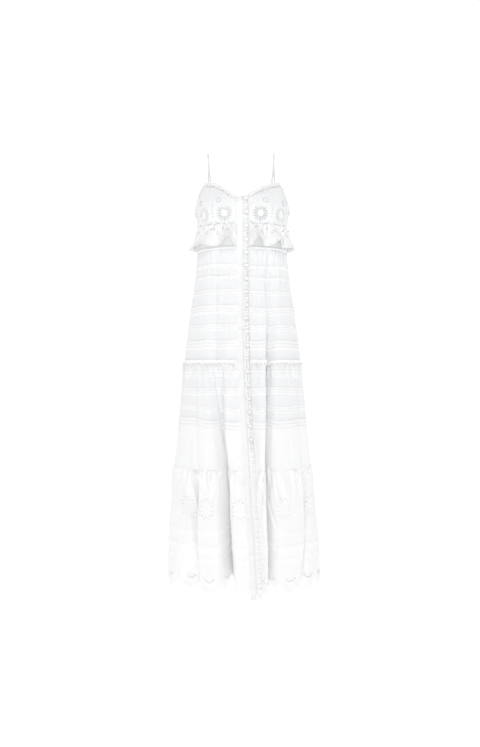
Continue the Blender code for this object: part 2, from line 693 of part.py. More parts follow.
def hem_level(fold):
    return HEM_TIP + SCALLOP_RISE + 0.010 + lift(fold, 2)


def hem_samples(start, end):
    """Lines close enough to draw each scallop, and each fold without one."""
    lines = []
    for k in range(start, end):
        steps = np.arange(max(SCALLOPS[k], 1) * SCALLOP_STEPS) / (max(SCALLOPS[k], 1) * SCALLOP_STEPS)
        lines += list(k + np.interp(steps, HEM_LENGTHS[k] / HEM_LENGTHS[k][-1], SHARES))
    return np.array(lines + [end], float)


def top_frill(name, line, offsets, wave):
    """A narrow gathered frill that lies along a top edge of the bodice, given in the pattern."""
    run = np.concatenate([[0], np.cumsum(np.linalg.norm(np.diff(line, axis=0), axis=1))])
    count = 2 * int(run[-1] / FRILL_WAVE_LENGTH) + 1
    at = np.linspace(0, run[-1], count)
    edge = np.stack([np.interp(at, run, line[:, i]) for i in (0, 1)], axis=-1)
    way = np.gradient(edge, axis=0)
    way /= np.linalg.norm(way, axis=1, keepdims=True)
    down = np.stack([way[:, 1], -way[:, 0]], axis=-1)
    if down[:, 1].mean() > 0:
        down = -down
    waves = np.arange(count) % 2
    rows = []
    for offset, share in ((offsets[1], 1.0), (offsets[0], FRILL_TOP_SHARE)):
        place = edge + down * offset
        out = bodice_out(place[:, 0], place[:, 1])
        away = LAID_ON + TRIM_WALL + wave * share * waves
        rows.append((bodice(place[:, 0], place[:, 1]) + out * away[:, None], out))
    if way[:, 0].mean() < 0:
        rows = [(points[::-1], out[::-1]) for points, out in rows]
    add_strip(name, rows[0], rows[1])


def placket_angle(across, height):
    """The angle of a line beside the placket, a distance across from its middle."""
    centre = at_level(RIDGES, np.full(np.shape(height), PLACKET_RIDGE), height)
    return angle_across(form(centre, height)[..., 0] + across, height)


def front_face(across, height):
    """A point of the front's outer face, a distance across from the placket's line, and its direction."""
    across, height = np.broadcast_arrays(np.asarray(across, float), np.asarray(height, float))
    angle = placket_angle(across, height)
    upper = height > WAIST
    lines = np.array([fold_at(a, h) for a, h in zip(angle.ravel(), np.minimum(height, WAIST).ravel())])
    lines = lines.reshape(across.shape)
    lengths = length_at(angle)
    point = np.where(upper[..., None], bodice(lengths, height), skirt(lines, height))
    out = np.where(upper[..., None], bodice_out(lengths, height), skirt_out(lines, height))
    return point, out


def placket():
    """The band over the front opening, the frill on its free edge and the covered buttons."""
    top = NECK_RIGHT[0][1]
    low = np.arange(PLACKET_END, WAIST - BUTTON_PITCH, BUTTON_PITCH)
    heights = np.append(np.arange(low[-1], top - BUTTON_PITCH / 4, BUTTON_PITCH / 2), top)
    heights = np.append(low[:-1], heights)
    edges = []
    for across in (-BAND_HALF_WIDTH, 0.0, BAND_HALF_WIDTH):
        point, out = front_face(across, heights)
        edges.append((point + out * (LAID_ON + TRIM_WALL), out))
    add_strip("placket_band", edges[2], edges[0], middle=edges[1])
    buttons = BUTTON_FIRST - BUTTON_PITCH * np.arange(BUTTON_COUNT)
    heights = np.arange(BUTTON_FIRST - BUTTON_PITCH / 3, PLACKET_END, -BUTTON_PITCH / 3)
    heights = np.concatenate([[BUTTON_FIRST + BUTTON_PITCH / 8], [BUTTON_FIRST], heights])[::-1]
    waves = 0.5 - 0.5 * np.cos(2 * np.pi * (heights - BUTTON_FIRST) / BUTTON_PITCH)
    edges = []
    for across, share in ((BAND_HALF_WIDTH + SEAM_GAP, 0.0), (FRILL_END, 1.0)):
        point, out = front_face(across, heights)
        away = FRILL_STAND + TRIM_WALL + FRILL_WAVE * share * waves
        edges.append((point + out * away[:, None], out))
    add_strip("placket_frill", edges[1], edges[0])
    for number, height in enumerate(buttons, 1):
        add_button(f"button_{number:02d}", *button_seat(height, heights, edges[0][0], edges[1][0]))


def button_seat(height, heights, inner_edge, outer_edge):
    """The middle of a button's base, just clear of the frill under its rim, and the way that it faces."""

    def frill_point(aside, up):
        share = (BUTTON_ACROSS + aside - BAND_HALF_WIDTH) / (FRILL_END - BAND_HALF_WIDTH)
        line = inner_edge + (outer_edge - inner_edge) * share
        return np.array([np.interp(height + up, heights, line[:, i]) for i in range(3)])

    across = frill_point(BUTTON_RADIUS, 0) - frill_point(-BUTTON_RADIUS, 0)
    out = np.cross(across, frill_point(0, BUTTON_RADIUS) - frill_point(0, -BUTTON_RADIUS))
    out /= np.linalg.norm(out)
    middle = frill_point(0, 0)
    turns = np.arange(BUTTON_SIDES) * 2 * math.pi / BUTTON_SIDES
    rim = np.array([frill_point(BUTTON_RADIUS * math.cos(t), BUTTON_RADIUS * math.sin(t)) for t in turns])
    return middle + out * (max(0, ((rim - middle) @ out).max()) + BUTTON_CLEAR), out


def add_button(name, base, out):
    """A covered button: a low dome with a rounded rim."""
    side = np.array([-out[1], out[0], 0.0])
    side /= np.linalg.norm(side)
    up = np.cross(out, side)
    rings = ((1.0, 0.0), (0.86, 0.62))
    vertices, faces = [], []
    for radius, rise in rings:
        for turn in np.arange(BUTTON_SIDES) * 2 * math.pi / BUTTON_SIDES:
            aside = side * math.cos(turn) + up * math.sin(turn)
            vertices.append(base + aside * radius * BUTTON_RADIUS + out * rise * BUTTON_HEIGHT)
    vertices.append(base + out * BUTTON_HEIGHT)
    for ring in range(len(rings) - 1):
        for i in range(BUTTON_SIDES):
            a, b = ring * BUTTON_SIDES + i, ring * BUTTON_SIDES + (i + 1) % BUTTON_SIDES
            faces.append((a, b, b + BUTTON_SIDES, a + BUTTON_SIDES))
    last = (len(rings) - 1) * BUTTON_SIDES
    faces += [(last + i, last + (i + 1) % BUTTON_SIDES, len(vertices) - 1) for i in range(BUTTON_SIDES)]
    faces.append(tuple(range(BUTTON_SIDES))[::-1])
    add_object(name, vertices, faces, WHITE_TRIM)


def beside_placket(start, end, height):
    """The lines of a seam trim, which stops at the placket's band or at its frill."""
    lines = tier_columns(start, end)
    if end == PLACKET_RIDGE:
        last = fold_at(float(placket_angle(-BAND_HALF_WIDTH - TRIM_CLEAR, height)), height)
        lines = np.append(lines[lines < last - 0.03], last)
    if start == PLACKET_RIDGE:
        first = fold_at(float(placket_angle(FRILL_END + TRIM_CLEAR, height)), height)
        lines = np.insert(lines[lines > first + 0.03], 0, first)
    return beside_seams(lines, height)


def piping(name, start, end):
    """The corded seam between the midriff and the skirt."""
    lines = beside_placket(start, end, WAIST)
    lines = np.append(lines[:-1:2], lines[-1])
    rows = []
    for up, share in ((-0.5, 0.25), (0.0, 1.0), (0.5, 0.25)):
        heights = waist(lines) + up * PIPING_HEIGHT
        out = skirt_out(lines, heights)
        away = SEAM_TRIM_STAND + TRIM_WALL + gather_reach(lines) + PIPING_STAND * share
        rows.append((skirt(lines, heights) + out * away[:, None], out))
    add_strip(name, rows[0], rows[2], middle=rows[1])


def gather_reach(lines):
    """How far the first tier's gathers stand out just under the waist."""
    return np.maximum(gather(lines, PIPING_HEIGHT / 2, "one"), 0)


def heading(name, start, end):
    """The narrow ruffled strip that covers the first skirt seam."""
    lines = beside_placket(start, end, SEAM_ONE)
    waves = np.where(np.arange(len(lines)) % 3 == 1, 1.0, 0.0)
    rows = []
    for up in (-0.5, 0.5):
        heights = seam_one(lines) + up * HEADING_HEIGHT
        out = skirt_out(lines, heights)
        stand = np.maximum(gather(lines, HEADING_HEIGHT / 2, "two"), 0)
        away = SEAM_TRIM_STAND + TRIM_WALL + stand + HEADING_WAVE * waves
        rows.append((skirt(lines, heights) + out * away[:, None], out))
    add_strip(name, rows[0], rows[1])


def strap(name, side, neck_line):
    """A rouleau strap, from inside the front's top edge over the shoulder's crown to inside the back."""
    front_length = float(length_at(angle_across(side * STRAP_FRONT, NECK_RIGHT[-1][1])))
    edge = float(np.interp(abs(front_length), np.abs(neck_line[:, 0]), neck_line[:, 1]))
    away = WALL + STRAP_CLEAR + STRAP_DIAMETER / 2
    path = []
    for height in (edge - STRAP_TUCK, edge - STRAP_TUCK / 2, edge):
        path.append(inner_point(front_length, height, away))
    crown = [np.array([side * STRAP_TOP, y, z]) for y, z in STRAP_CROWN]
    for share in STRAP_RISE:
        path.append(path[2] + (crown[0] - path[2]) * share)
    path += crown[1:-1]
    angle = 180 - math.degrees(math.asin(STRAP_BACK / float(section(BACK_TOP, "half_width"))))
    back_length = float(length_at(angle if side > 0 else 360 - angle))
    back_edge = float(back_top(back_length))
    last = inner_point(back_length, back_edge, away)
    for share in STRAP_FALL:
        path.append(crown[-1] * (1 - share) + last * share)
    for height in (back_edge, back_edge - STRAP_TUCK / 2, back_edge - STRAP_TUCK):
        path.append(inner_point(back_length, height, away))
    data = bpy.data.curves.new(name, "CURVE")
    data.dimensions = "3D"
    data.bevel_depth = STRAP_DIAMETER / 2
    data.bevel_resolution = 1
    data.use_fill_caps = True
    line = data.splines.new("POLY")
    line.points.add(len(path) - 1)
    for point, place in zip(line.points, path):
        point.co = (*place, 1.0)
    data.materials.append(material(name, WHITE_TRIM))
    bpy.context.scene.collection.objects.link(bpy.data.objects.new(name, data))


def inner_point(length, height, away):
    """A point inside the bodice, a distance in from its outer face."""
    at = np.array([length]), np.array([height])
    return bodice(*at)[0] - bodice_out(*at)[0] * away


def clear_scene():
    """Remove whatever the file opened with."""
    for old in list(bpy.data.objects):
        bpy.data.objects.remove(old, do_unlink=True)


def back_edge_line():
    """The back's top edge in the pattern, from side to side."""
    lengths = np.linspace(float(length_at(90)) + BACK_FRILL_START, float(length_at(270)) - BACK_FRILL_START, 40)
    return np.stack([lengths, back_top(lengths)], axis=-1)


def part_of(line, skip_start, skip_end):
    """A stretch of a line in the pattern, shortened at each end."""
    run = np.concatenate([[0], np.cumsum(np.linalg.norm(np.diff(line, axis=0), axis=1))])
    at = np.linspace(skip_start, run[-1] - skip_end, 30)
    return np.stack([np.interp(at, run, line[:, i]) for i in (0, 1)], axis=-1)


def build():
    clear_scene()
    right_neck, right_arm = bodice_front("bodice_front_right", NECK_RIGHT, ARMHOLE_RIGHT, -1)
    left_neck, left_arm = bodice_front("bodice_front_left", NECK_LEFT, ARMHOLE_LEFT, 1)
    bodice_back()
    centre = SEAM_RIDGES[PLACKET_RIDGE][0]
    midriff("midriff_front_right", -90, centre)
    midriff("midriff_front_left", centre, 90)
    midriff("midriff_back", 90, 270)
    flounce("flounce_front_right", FLOUNCE_PLACES, FLOUNCE_LEANS, -90, FLOUNCE_ENDS[0], FLOUNCE_COLUMNS[0])
    flounce("flounce_front_left", FLOUNCE_PLACES, FLOUNCE_LEANS, FLOUNCE_ENDS[1], 90, FLOUNCE_COLUMNS[0])
    flounce("flounce_back", FLOUNCE_BACK_PLACES, FLOUNCE_BACK_LEANS, 90, 270, FLOUNCE_COLUMNS[1])
    top_frill("neck_frill_right", part_of(right_neck, NECK_FRILL_STARTS[0], 0), NECK_FRILL, NECK_FRILL_WAVE)
    top_frill("neck_frill_left", part_of(left_neck, NECK_FRILL_STARTS[1], 0), NECK_FRILL, NECK_FRILL_WAVE)
    top_frill("armhole_frill_right", part_of(right_arm, *ARM_FRILL_ENDS), ARM_FRILL, NECK_FRILL_WAVE)
    top_frill("armhole_frill_left", part_of(left_arm, *ARM_FRILL_ENDS), ARM_FRILL, NECK_FRILL_WAVE)
    top_frill("back_frill", back_edge_line(), ARM_FRILL, NECK_FRILL_WAVE)
    strap("strap_right", -1, right_neck)
    strap("strap_left", 1, left_neck)
    panels = (("front_right", RIGHT_SEAM, PLACKET_RIDGE), ("front_left", PLACKET_RIDGE, LEFT_SEAM))
    for panel, start, end in panels + (("back", LEFT_SEAM, len(FOLDS)),):
        piping(f"waist_piping_{panel}", start, end)
        tier_panel(f"tier_one_{panel}", "one", start, end, waist, seam_one)
        heading(f"seam_heading_{panel}", start, end)
        tier_panel(f"tier_two_{panel}", "two", start, end, seam_one, seam_two)
        hem_panel(f"tier_three_{panel}", start, end)
    placket()


build()
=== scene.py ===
"""A long white cotton sun dress in its worn form, with nobody in it: thin straps, a cutwork bodice with a
flounce under the bust, and a skirt of three gathered and tucked tiers with a scalloped hem.

Metres, +Z up. The front faces -Y, and left and right are the wearer's, so left is +X."""

import math

import bpy
import numpy as np
from mathutils import Matrix, Vector
from mathutils.geometry import delaunay_2d_cdt


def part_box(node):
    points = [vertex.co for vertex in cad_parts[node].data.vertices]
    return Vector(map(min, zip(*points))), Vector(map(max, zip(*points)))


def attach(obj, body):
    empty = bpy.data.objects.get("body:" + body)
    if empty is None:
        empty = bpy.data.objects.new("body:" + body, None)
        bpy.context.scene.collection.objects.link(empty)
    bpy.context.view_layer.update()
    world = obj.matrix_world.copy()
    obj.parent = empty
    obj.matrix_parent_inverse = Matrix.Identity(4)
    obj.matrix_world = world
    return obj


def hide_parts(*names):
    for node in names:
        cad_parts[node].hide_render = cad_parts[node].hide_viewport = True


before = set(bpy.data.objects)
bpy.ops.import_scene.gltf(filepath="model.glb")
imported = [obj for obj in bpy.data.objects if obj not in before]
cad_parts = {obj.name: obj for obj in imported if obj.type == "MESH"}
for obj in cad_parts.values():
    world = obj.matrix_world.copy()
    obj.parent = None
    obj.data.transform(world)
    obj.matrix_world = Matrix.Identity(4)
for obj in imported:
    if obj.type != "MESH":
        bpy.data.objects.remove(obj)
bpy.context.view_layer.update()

# CAMERA
# It stands level with the middle of the dress, 2.4 m in front of it, and looks straight ahead.
camera_data = bpy.data.cameras.new("front_camera")
camera_data.sensor_fit = "AUTO"
camera_data.sensor_width = 36.0
camera_data.lens = 36.145
camera = bpy.data.objects.new("front_camera", camera_data)
camera.location = (-0.0032, -2.4, -0.6976)
camera.rotation_euler = (math.radians(90), 0, 0)
bpy.context.scene.collection.objects.link(camera)
bpy.context.scene.camera = camera

# STUDIO
# A white floor and a white wall, both lit on their own, soft light all round, and one large lamp high in
# front. The dress hangs clear of the floor, so that no shadow falls in the picture.
STAGE_SIZE = 60
FLOOR_HEIGHT = -1.90
WALL_BEHIND = 6.0
STAGE_LIGHT = {"white_floor": 0.62, "white_wall": 1.03}
STAGE_COLOUR = {"white_floor": 0.80, "white_wall": 0.05}
SKY_STRENGTH = 0.48
LAMP_PLACE = (0.02, -2.9, 1.05)
LAMP_AIM = (0.0, 0.0, -0.7)
LAMP_SIZE = 1.3
LAMP_POWER = 32.0

studio = bpy.data.worlds.new("studio")
studio.use_nodes = True
studio.node_tree.nodes["Background"].inputs["Color"].default_value = (1.0, 1.0, 1.0, 1.0)
studio.node_tree.nodes["Background"].inputs["Strength"].default_value = SKY_STRENGTH
bpy.context.scene.world = studio
bpy.context.scene.view_settings.view_transform = "Standard"

lamp_data = bpy.data.lights.new("soft_lamp", "AREA")
lamp_data.size = LAMP_SIZE
lamp_data.energy = LAMP_POWER
lamp = bpy.data.objects.new("soft_lamp", lamp_data)
lamp.location = LAMP_PLACE
lamp.rotation_euler = (Vector(LAMP_AIM) - Vector(LAMP_PLACE)).to_track_quat("-Z", "Y").to_euler()
bpy.context.scene.collection.objects.link(lamp)

bpy.ops.object.select_all(action="DESELECT")
for name, place, tilt in (
    ("white_floor", (0, 0, FLOOR_HEIGHT), 0),
    ("white_wall", (0, WALL_BEHIND, 0), math.radians(90)),
):
    bpy.ops.mesh.primitive_plane_add(size=STAGE_SIZE, location=place, rotation=(tilt, 0, 0))
    plain = bpy.context.object
    plain.name = name
    paint = bpy.data.materials.new(name)
    paint.use_nodes = True
    coat = paint.node_tree.nodes["Principled BSDF"]
    coat.inputs["Base Color"].default_value = (STAGE_COLOUR[name],) * 3 + (1.0,)
    coat.inputs["Roughness"].default_value = 1.0
    coat.inputs["Emission Color"].default_value = (1.0, 1.0, 1.0, 1.0)
    coat.inputs["Emission Strength"].default_value = STAGE_LIGHT[name]
    plain.data.materials.append(paint)

# BODICE
# Two fronts and a back of white cotton lawn, cut to the bust and sewn at the sides. Rings of slits, and small
# round eyelets in flowers and arcs, are cut through it and edged with raised white stitching, whose inner
# side is painted dark grey as painted shade.
UNDERARM = -0.188
BACK_TOP = -0.148
BACK_LEVEL = 0.7
FLOUNCE_SEAM = -0.244
SEAM_GAP = 0.0003
CLOTH = 0.0006
SECTION_COLUMNS = ("height", "half_width", "front", "back", "shift")
SECTIONS = (
    (-0.060, 0.1200, 0.070, 0.070, 0.003),
    (-0.100, 0.1330, 0.090, 0.085, 0.003),
    (-0.130, 0.1400, 0.104, 0.091, 0.003),
    (-0.160, 0.1445, 0.115, 0.095, 0.003),
    (-0.190, 0.1470, 0.119, 0.096, 0.004),
    (-0.244, 0.1415, 0.111, 0.094, 0.004),
    (-0.313, 0.1390, 0.102, 0.094, 0.004),
    (-0.366, 0.1456, 0.108, 0.101, 0.004),
    (-0.430, 0.1536, 0.116, 0.107, 0.004),
    (-0.526, 0.1690, 0.128, 0.117, 0.004),
    (-0.662, 0.1850, 0.143, 0.130, 0.005),
    (-0.830, 0.2015, 0.157, 0.142, 0.005),
    (-0.992, 0.2175, 0.168, 0.152, 0.005),
    (-1.110, 0.2305, 0.180, 0.162, 0.006),
    (-1.200, 0.2385, 0.188, 0.169, 0.008),
    (-1.350, 0.2435, 0.196, 0.175, 0.009),
)
ROUNDNESS = 2 / 2.2
BUST_POINT = 34
BUST_SWELL = 0.006
BUST_SPREAD = (0.05, 20)
PLACKET_ANGLE = -2.1
NECK_RIGHT = ((-0.003, -0.1565), (-0.014, -0.1560), (-0.049, -0.1300), (-0.080, -0.1105), (-0.112, -0.1010))
ARMHOLE_RIGHT = ((-0.112, -0.1010), (-0.121, -0.1180), (-0.1325, -0.1420), (-0.1400, -0.1650))
NECK_LEFT = ((-0.003, -0.1565), (0.007, -0.1565), (0.021, -0.1510), (0.064, -0.1240), (0.119, -0.1000))
ARMHOLE_LEFT = ((0.119, -0.1000), (0.127, -0.1150), (0.1370, -0.1380), (0.1440, -0.1620))
WHEEL_HEIGHT = -0.208
WHEEL_SPACING = 0.0770
WHEEL_FIRST = 0.0560
WHEEL_SLITS = 16
WHEEL_RADII = (0.0098, 0.0245)
WHEEL_TAPER = 0.20
WHEEL_CORNERS = 12
SLIT_WIDTH = 0.0042
SLIT_MIDDLE = 3.2  # a slit's width over its half width at the middle, because it is wider at the rim
# How much painted shade goes on the stitching inside each wheel's slits: none at 1, darker above it, and the
# left front's first wheel is painted darkest
WHEEL_PAINTED_SHADES = {"bodice_front_right": (1.18, 1.0), "bodice_front_left": (1.60, 1.0), "bodice_back": 1.18}
STITCH_CREST = 0.00045
STITCH_FOOT = 0.00080
STITCH_RISE = 0.00040
BODICE_PITCH = 0.0021
FLOWER = ((0.017, 0.040), 0.0070, 8, 0.0018)
EYELET_ARCS = (
    (-0.029, -0.0255), (-0.0235, -0.0290), (-0.0165, -0.0300),
    (0.0290, -0.0255), (0.0235, -0.0290), (0.0165, -0.0300),
    (0.0000, -0.0305), (0.0385, 0.0020), (0.0385, 0.0120), (0.0385, -0.0080), (0.0385, 0.0220),
)
EYELET_RADIUS = 0.0016
EYELET_OPEN = 0.62
# Eyelets along the neck: place of the first, spacing, distance below the edge, and radius
NECK_EYELETS = (0.0360, 0.0082, 0.0150, 0.0014)
NECK_EYELETS_END = 0.012
BUST_SPAN = (-0.30, 0.70)
FRONT_TOP = -0.098


def smooth(value):
    """A rise from 0 to 1 that starts and ends level."""
    value = np.clip(value, 0, 1)
    return value * value * (3 - 2 * value)


def spline(at, places, values):
    """A smooth curve through the values at rising places."""
    places, values = np.asarray(places, float), np.asarray(values, float)
    slopes = np.gradient(values, places)
    left = np.clip(np.searchsorted(places, at, side="right") - 1, 0, len(places) - 2)
    step = places[left + 1] - places[left]
    t = np.clip((at - places[left]) / step, 0, 1)
    start = (2 * t**3 - 3 * t**2 + 1) * values[left] + (t**3 - 2 * t**2 + t) * step * slopes[left]
    end = (3 * t**2 - 2 * t**3) * values[left + 1] + (t**3 - t**2) * step * slopes[left + 1]
    return start + end


def section(height, column):
    """One measure of the form at a height."""
    rows = np.array(SECTIONS)[::-1]
    return spline(height, rows[:, 0], rows[:, SECTION_COLUMNS.index(column)])


def power(value):
    """The rounding that makes a section fuller than an ellipse."""
    return np.sign(value) * np.abs(value) ** ROUNDNESS


def form(angle, height, inward=0.0):
    """A point of the form, angle in degrees from the front centre towards the left side."""
    angle, height = np.broadcast_arrays(np.asarray(angle, float), np.asarray(height, float))
    turn = np.radians(angle)
    depth = np.where(np.cos(turn) > 0, section(height, "front"), section(height, "back"))
    bust = np.exp(-(((height - UNDERARM) / BUST_SPREAD[0]) ** 2))
    sides = np.exp(-(((np.abs((angle + 180) % 360 - 180) - BUST_POINT) / BUST_SPREAD[1]) ** 2))
    x = section(height, "half_width") * power(np.sin(turn))
    y = -(depth + BUST_SWELL * bust * sides) * power(np.cos(turn))
    kept = 1 - inward / np.hypot(x, y)
    return np.stack([x * kept + section(height, "shift"), y * kept, height], axis=-1)


def outwards(surface, along, height, step):
    """The level direction that points straight out of a surface."""
    across = surface(along + step, height) - surface(along - step, height)
    out = np.stack([across[..., 1], -across[..., 0], np.zeros(across.shape[:-1])], axis=-1)
    return out / np.linalg.norm(out, axis=-1, keepdims=True)


def angle_across(across, height):
    """The angle at which the form's front passes a distance across."""
    share = (across - section(height, "shift")) / section(height, "half_width")
    return np.degrees(np.sign(share) * np.arcsin(np.clip(np.abs(share), 0, 1) ** (1 / ROUNDNESS)))


# The bodice's pattern is laid out by length round the bust, from the front centre
BUST_ANGLES = np.arange(-200.0, 300.25, 0.25)
BUST_STEPS = np.linalg.norm(np.diff(form(BUST_ANGLES, UNDERARM), axis=0), axis=1)
BUST_LENGTHS = np.concatenate([[0], np.cumsum(BUST_STEPS)])
BUST_LENGTHS -= np.interp(0, BUST_ANGLES, BUST_LENGTHS)


def length_at(angle):
    """The length round the bust at an angle."""
    return np.interp(angle, BUST_ANGLES, BUST_LENGTHS)


def bodice(length, height):
    """A point of the bodice's outer face, from its place in the pattern."""
    return form(np.interp(length, BUST_LENGTHS, BUST_ANGLES), height)


def bodice_out(length, height):
    """The direction straight out of the bodice."""
    return outwards(bodice, length, height, 0.001)


def curve_through(points, count):
    """Points spread evenly along a smooth curve through a few given ones."""
    points = np.array(points, float)
    chord = np.concatenate([[0], np.cumsum(np.linalg.norm(np.diff(points, axis=0), axis=1))])
    at = np.linspace(0, chord[-1], count)
    return np.stack([spline(at, chord, points[:, i]) for i in range(points.shape[1])], axis=-1)


def pattern_edge(points, count):
    """An edge given across and in height, laid out in the bodice's pattern."""
    line = curve_through(points, count)
    return np.stack([length_at(angle_across(line[:, 0], line[:, 1])), line[:, 1]], axis=-1)


def back_top(length):
    """The height of the back's top edge, level but for its rise to the underarms."""
    aside = np.abs(length - length_at(180)) / float(length_at(180) - length_at(90))
    return BACK_TOP + (UNDERARM - BACK_TOP) * smooth((aside - BACK_LEVEL) / (1 - BACK_LEVEL))


def stitched_hole(middle, way, reach, aside, taper=0.0, corners=10):
    """The edge of a hole and the crest and foot of the stitching round it, wider towards its far end."""
    way = np.array(way) / np.hypot(*way)
    turns = np.arange(corners) * 2 * math.pi / corners
    rings = []
    for wider in (0.0, STITCH_CREST, STITCH_FOOT):
        u = (reach + wider) * np.cos(turns)
        v = (aside * (1 + taper * np.cos(turns)) + wider) * np.sin(turns)
        rings.append(np.array(middle) + u[:, None] * way + v[:, None] * np.array([-way[1], way[0]]))
    return {"rings": rings, "middle": np.array(middle), "way": way, "half": (reach, aside * (1 + taper))}


def eyelet(u, v, radius=EYELET_RADIUS, corners=8):
    """A round eyelet whose stitching's inner side is painted dark grey, as painted shade for the shadow where
    the stitching turns in.
    """
    hole = stitched_hole((u, v), (1, 0), radius * EYELET_OPEN, radius * EYELET_OPEN, 0, corners)
    turns = np.arange(corners) * 2 * math.pi / corners
    round_it = np.stack([np.cos(turns), np.sin(turns)], axis=-1)
    hole["rings"][1] = np.array([u, v]) + round_it * radius
    hole["rings"][2] = np.array([u, v]) + round_it * (radius + STITCH_CREST)
    hole["half"] = (radius, radius)
    # Amounts above 1 give the painted shade on the inner side of the stitching
    hole["stitching"] = (2.0, 1.9, 0.0)
    return hole


def wheel(u, v, shade):
    """A ring of slits, each wider towards the rim, with painted shade on the inner side of its stitching when
    the shade given is above 1.
    """
    holes = []
    for turn in np.arange(WHEEL_SLITS) * 2 * math.pi / WHEEL_SLITS:
        way = np.array([math.cos(turn), math.sin(turn)])
        middle = np.array([u, v]) + way * sum(WHEEL_RADII) / 2
        reach = (WHEEL_RADII[1] - WHEEL_RADII[0]) / 2
        holes.append(stitched_hole(middle, way, reach, SLIT_WIDTH / SLIT_MIDDLE, WHEEL_TAPER, WHEEL_CORNERS))
        holes[-1]["stitching"] = (2.0, shade, 0.0) if shade > 1 else (1.0, 1.0, 0.0)
    return holes


def flower(u, v, radius, petals, hole):
    """A ring of small round eyelets."""
    turns = (np.arange(petals) + 0.5) * 2 * math.pi / petals
    return [eyelet(u + radius * math.cos(t), v + radius * math.sin(t), hole) for t in turns]


def inside(points, loops):
    """Which points are inside the first loop and outside the holes."""
    odd = np.zeros(len(points), bool)
    for loop in loops:
        loop = np.asarray(loop)
        near = (points[:, 0] > loop[:, 0].min()) & (points[:, 0] < loop[:, 0].max())
        near &= (points[:, 1] > loop[:, 1].min()) & (points[:, 1] < loop[:, 1].max())
        at = np.nonzero(near)[0]
        some = points[at]
        found = np.zeros(len(at), bool)
        for a, b in zip(loop, np.roll(loop, -1, axis=0)):
            spans = (a[1] > some[:, 1]) != (b[1] > some[:, 1])
            if spans.any():
                cross = a[0] + (some[:, 1] - a[1]) * (b[0] - a[0]) / (b[1] - a[1] + 1e-15)
                found ^= spans & (some[:, 0] < cross)
        odd[at] ^= found
    return odd


def clear_of_holes(points, holes, spare):
    """Which points are clear of every hole and the stitching round it."""
    clear = np.ones(len(points), bool)
    for hole in holes:
        away = points - hole["middle"]
        u = away @ hole["way"] / (hole["half"][0] + STITCH_FOOT + spare)
        v = away @ np.array([-hole["way"][1], hole["way"][0]]) / (hole["half"][1] + STITCH_FOOT + spare)
        clear &= u * u + v * v > 1
    return clear


def pattern_piece(outline, holes, inner, spare):
    """A flat pattern piece with its holes cut out: its points, triangles and how stitched each point is,
    where values above 1 ask for painted shade.
    """
    holes = [hole for hole in holes if inside(hole["rings"][2], [outline]).all()]
    inner = inner[inside(inner, [outline])]
    inner = inner[clear_of_holes(inner, holes, spare)]
    points, edges, stitched = [outline], [], [np.zeros(len(outline))]
    edges += [(i, (i + 1) % len(outline)) for i in range(len(outline))]
    start = len(outline)
    for hole in holes:
        for ring, amount in zip(hole["rings"], hole.get("stitching", (0.5, 1.0, 0.0))):
            points.append(ring)
            stitched.append(np.full(len(ring), amount))
            if amount > 0:
                edges += [(start + i, start + (i + 1) % len(ring)) for i in range(len(ring))]
            start += len(ring)
    points.append(inner)
    stitched.append(np.zeros(len(inner)))
    points, stitched = np.concatenate(points), np.concatenate(stitched)
    found = delaunay_2d_cdt([Vector(p) for p in points], edges, [], 0, 1e-7)
    flat = np.array([p[:] for p in found[0]])
    amount = np.array([max((stitched[i] for i in given), default=0.0) for given in found[3]])
    triangles = np.array(found[2])
    loops = [outline] + [hole["rings"][0] for hole in holes]
    triangles = triangles[inside(flat[triangles].mean(axis=1), loops)]
    used, index = np.unique(triangles, return_inverse=True)
    return flat[used], index.reshape(-1, 3), amount[used]


# How much the gathers differ: spread of their places, and least and most of depth, reach and width
PUCKER_SPREAD = 0.38
PUCKER_DEPTHS = (0.30, 1.20)
PUCKER_REACHES = (0.35, 1.45)
PUCKER_WIDTHS = (0.18, 0.30)
CRUMPLE_WAVES = 14
CRUMPLE_FINENESS = (60, 330)


def groove(away, shoulder, shoulder_place):
    """The cross section of a fold: a round valley with a low rise on both sides."""
    return shoulder * np.exp(-((np.abs(away) - shoulder_place) ** 2)) - np.exp(-(away**2))


def gathers(along, below, span, spacing, size, reach, seed, start=0.30, leaning=0.07):
    """Gathers that hang from a seam: narrow valleys between rounded ridges, each with its own width, depth
    and length, opening downwards."""
    rng = np.random.default_rng(seed)
    places = np.arange(span[0], span[1], spacing)
    places = places + rng.uniform(-PUCKER_SPREAD, PUCKER_SPREAD, len(places)) * spacing
    total = np.zeros(np.shape(along))
    rise = start + (1 - start) * smooth(below / 0.010)
    for place in places:
        deep = size * rng.uniform(*PUCKER_DEPTHS)
        long = reach * rng.uniform(*PUCKER_REACHES)
        lean = rng.normal(0, leaning)
        wide = spacing * rng.uniform(*PUCKER_WIDTHS)
        away = np.abs(along - place - lean * below) / (wide * (1 + 0.8 * below / reach))
        near = away < 4
        total[near] += deep * groove(away[near], 0.45, 2.0) * rise[near] * (1 - smooth(below[near] / long))
    return total


def crumple(u, v, size, seed):
    """Soft, mostly upright unevenness that cotton keeps once it has been gathered and worn."""
    rng = np.random.default_rng(seed)
    total = np.zeros(np.shape(u))
    for _ in range(CRUMPLE_WAVES):
        fine = rng.uniform(*CRUMPLE_FINENESS)
        slope = rng.uniform(-0.35, 0.35) * fine + rng.uniform(-25, 25)
        total += np.sin(fine * u + slope * v + rng.uniform(0, 2 * math.pi)) / (1 + fine / 120)
    return size * total / 3


THREAD_COLOUR = (0.91, 0.91, 0.91)
# Painted shade: a dark grey put on the inner side of the stitching round eyelets and slits, for the shadow in
# the holes
PAINTED_HOLE_SHADE = (0.34, 0.34, 0.35)
# A faint glow of the cloth's own: painted light that stands in for light coming through the thin cotton
PAINTED_GLOW = 0.05
# Noise scales of the uneven yarn, the fine crumples and the cloudy thickness of the cloth
SLUB_SCALE = 520.0
CRUMPLE_SCALE = 46.0
CLOUD_SCALE = 14.0
CRUMPLE_RELIEF = 0.0016
WEAVE_RELIEF = 0.00012
THREADS_A_WAVE = 0.314


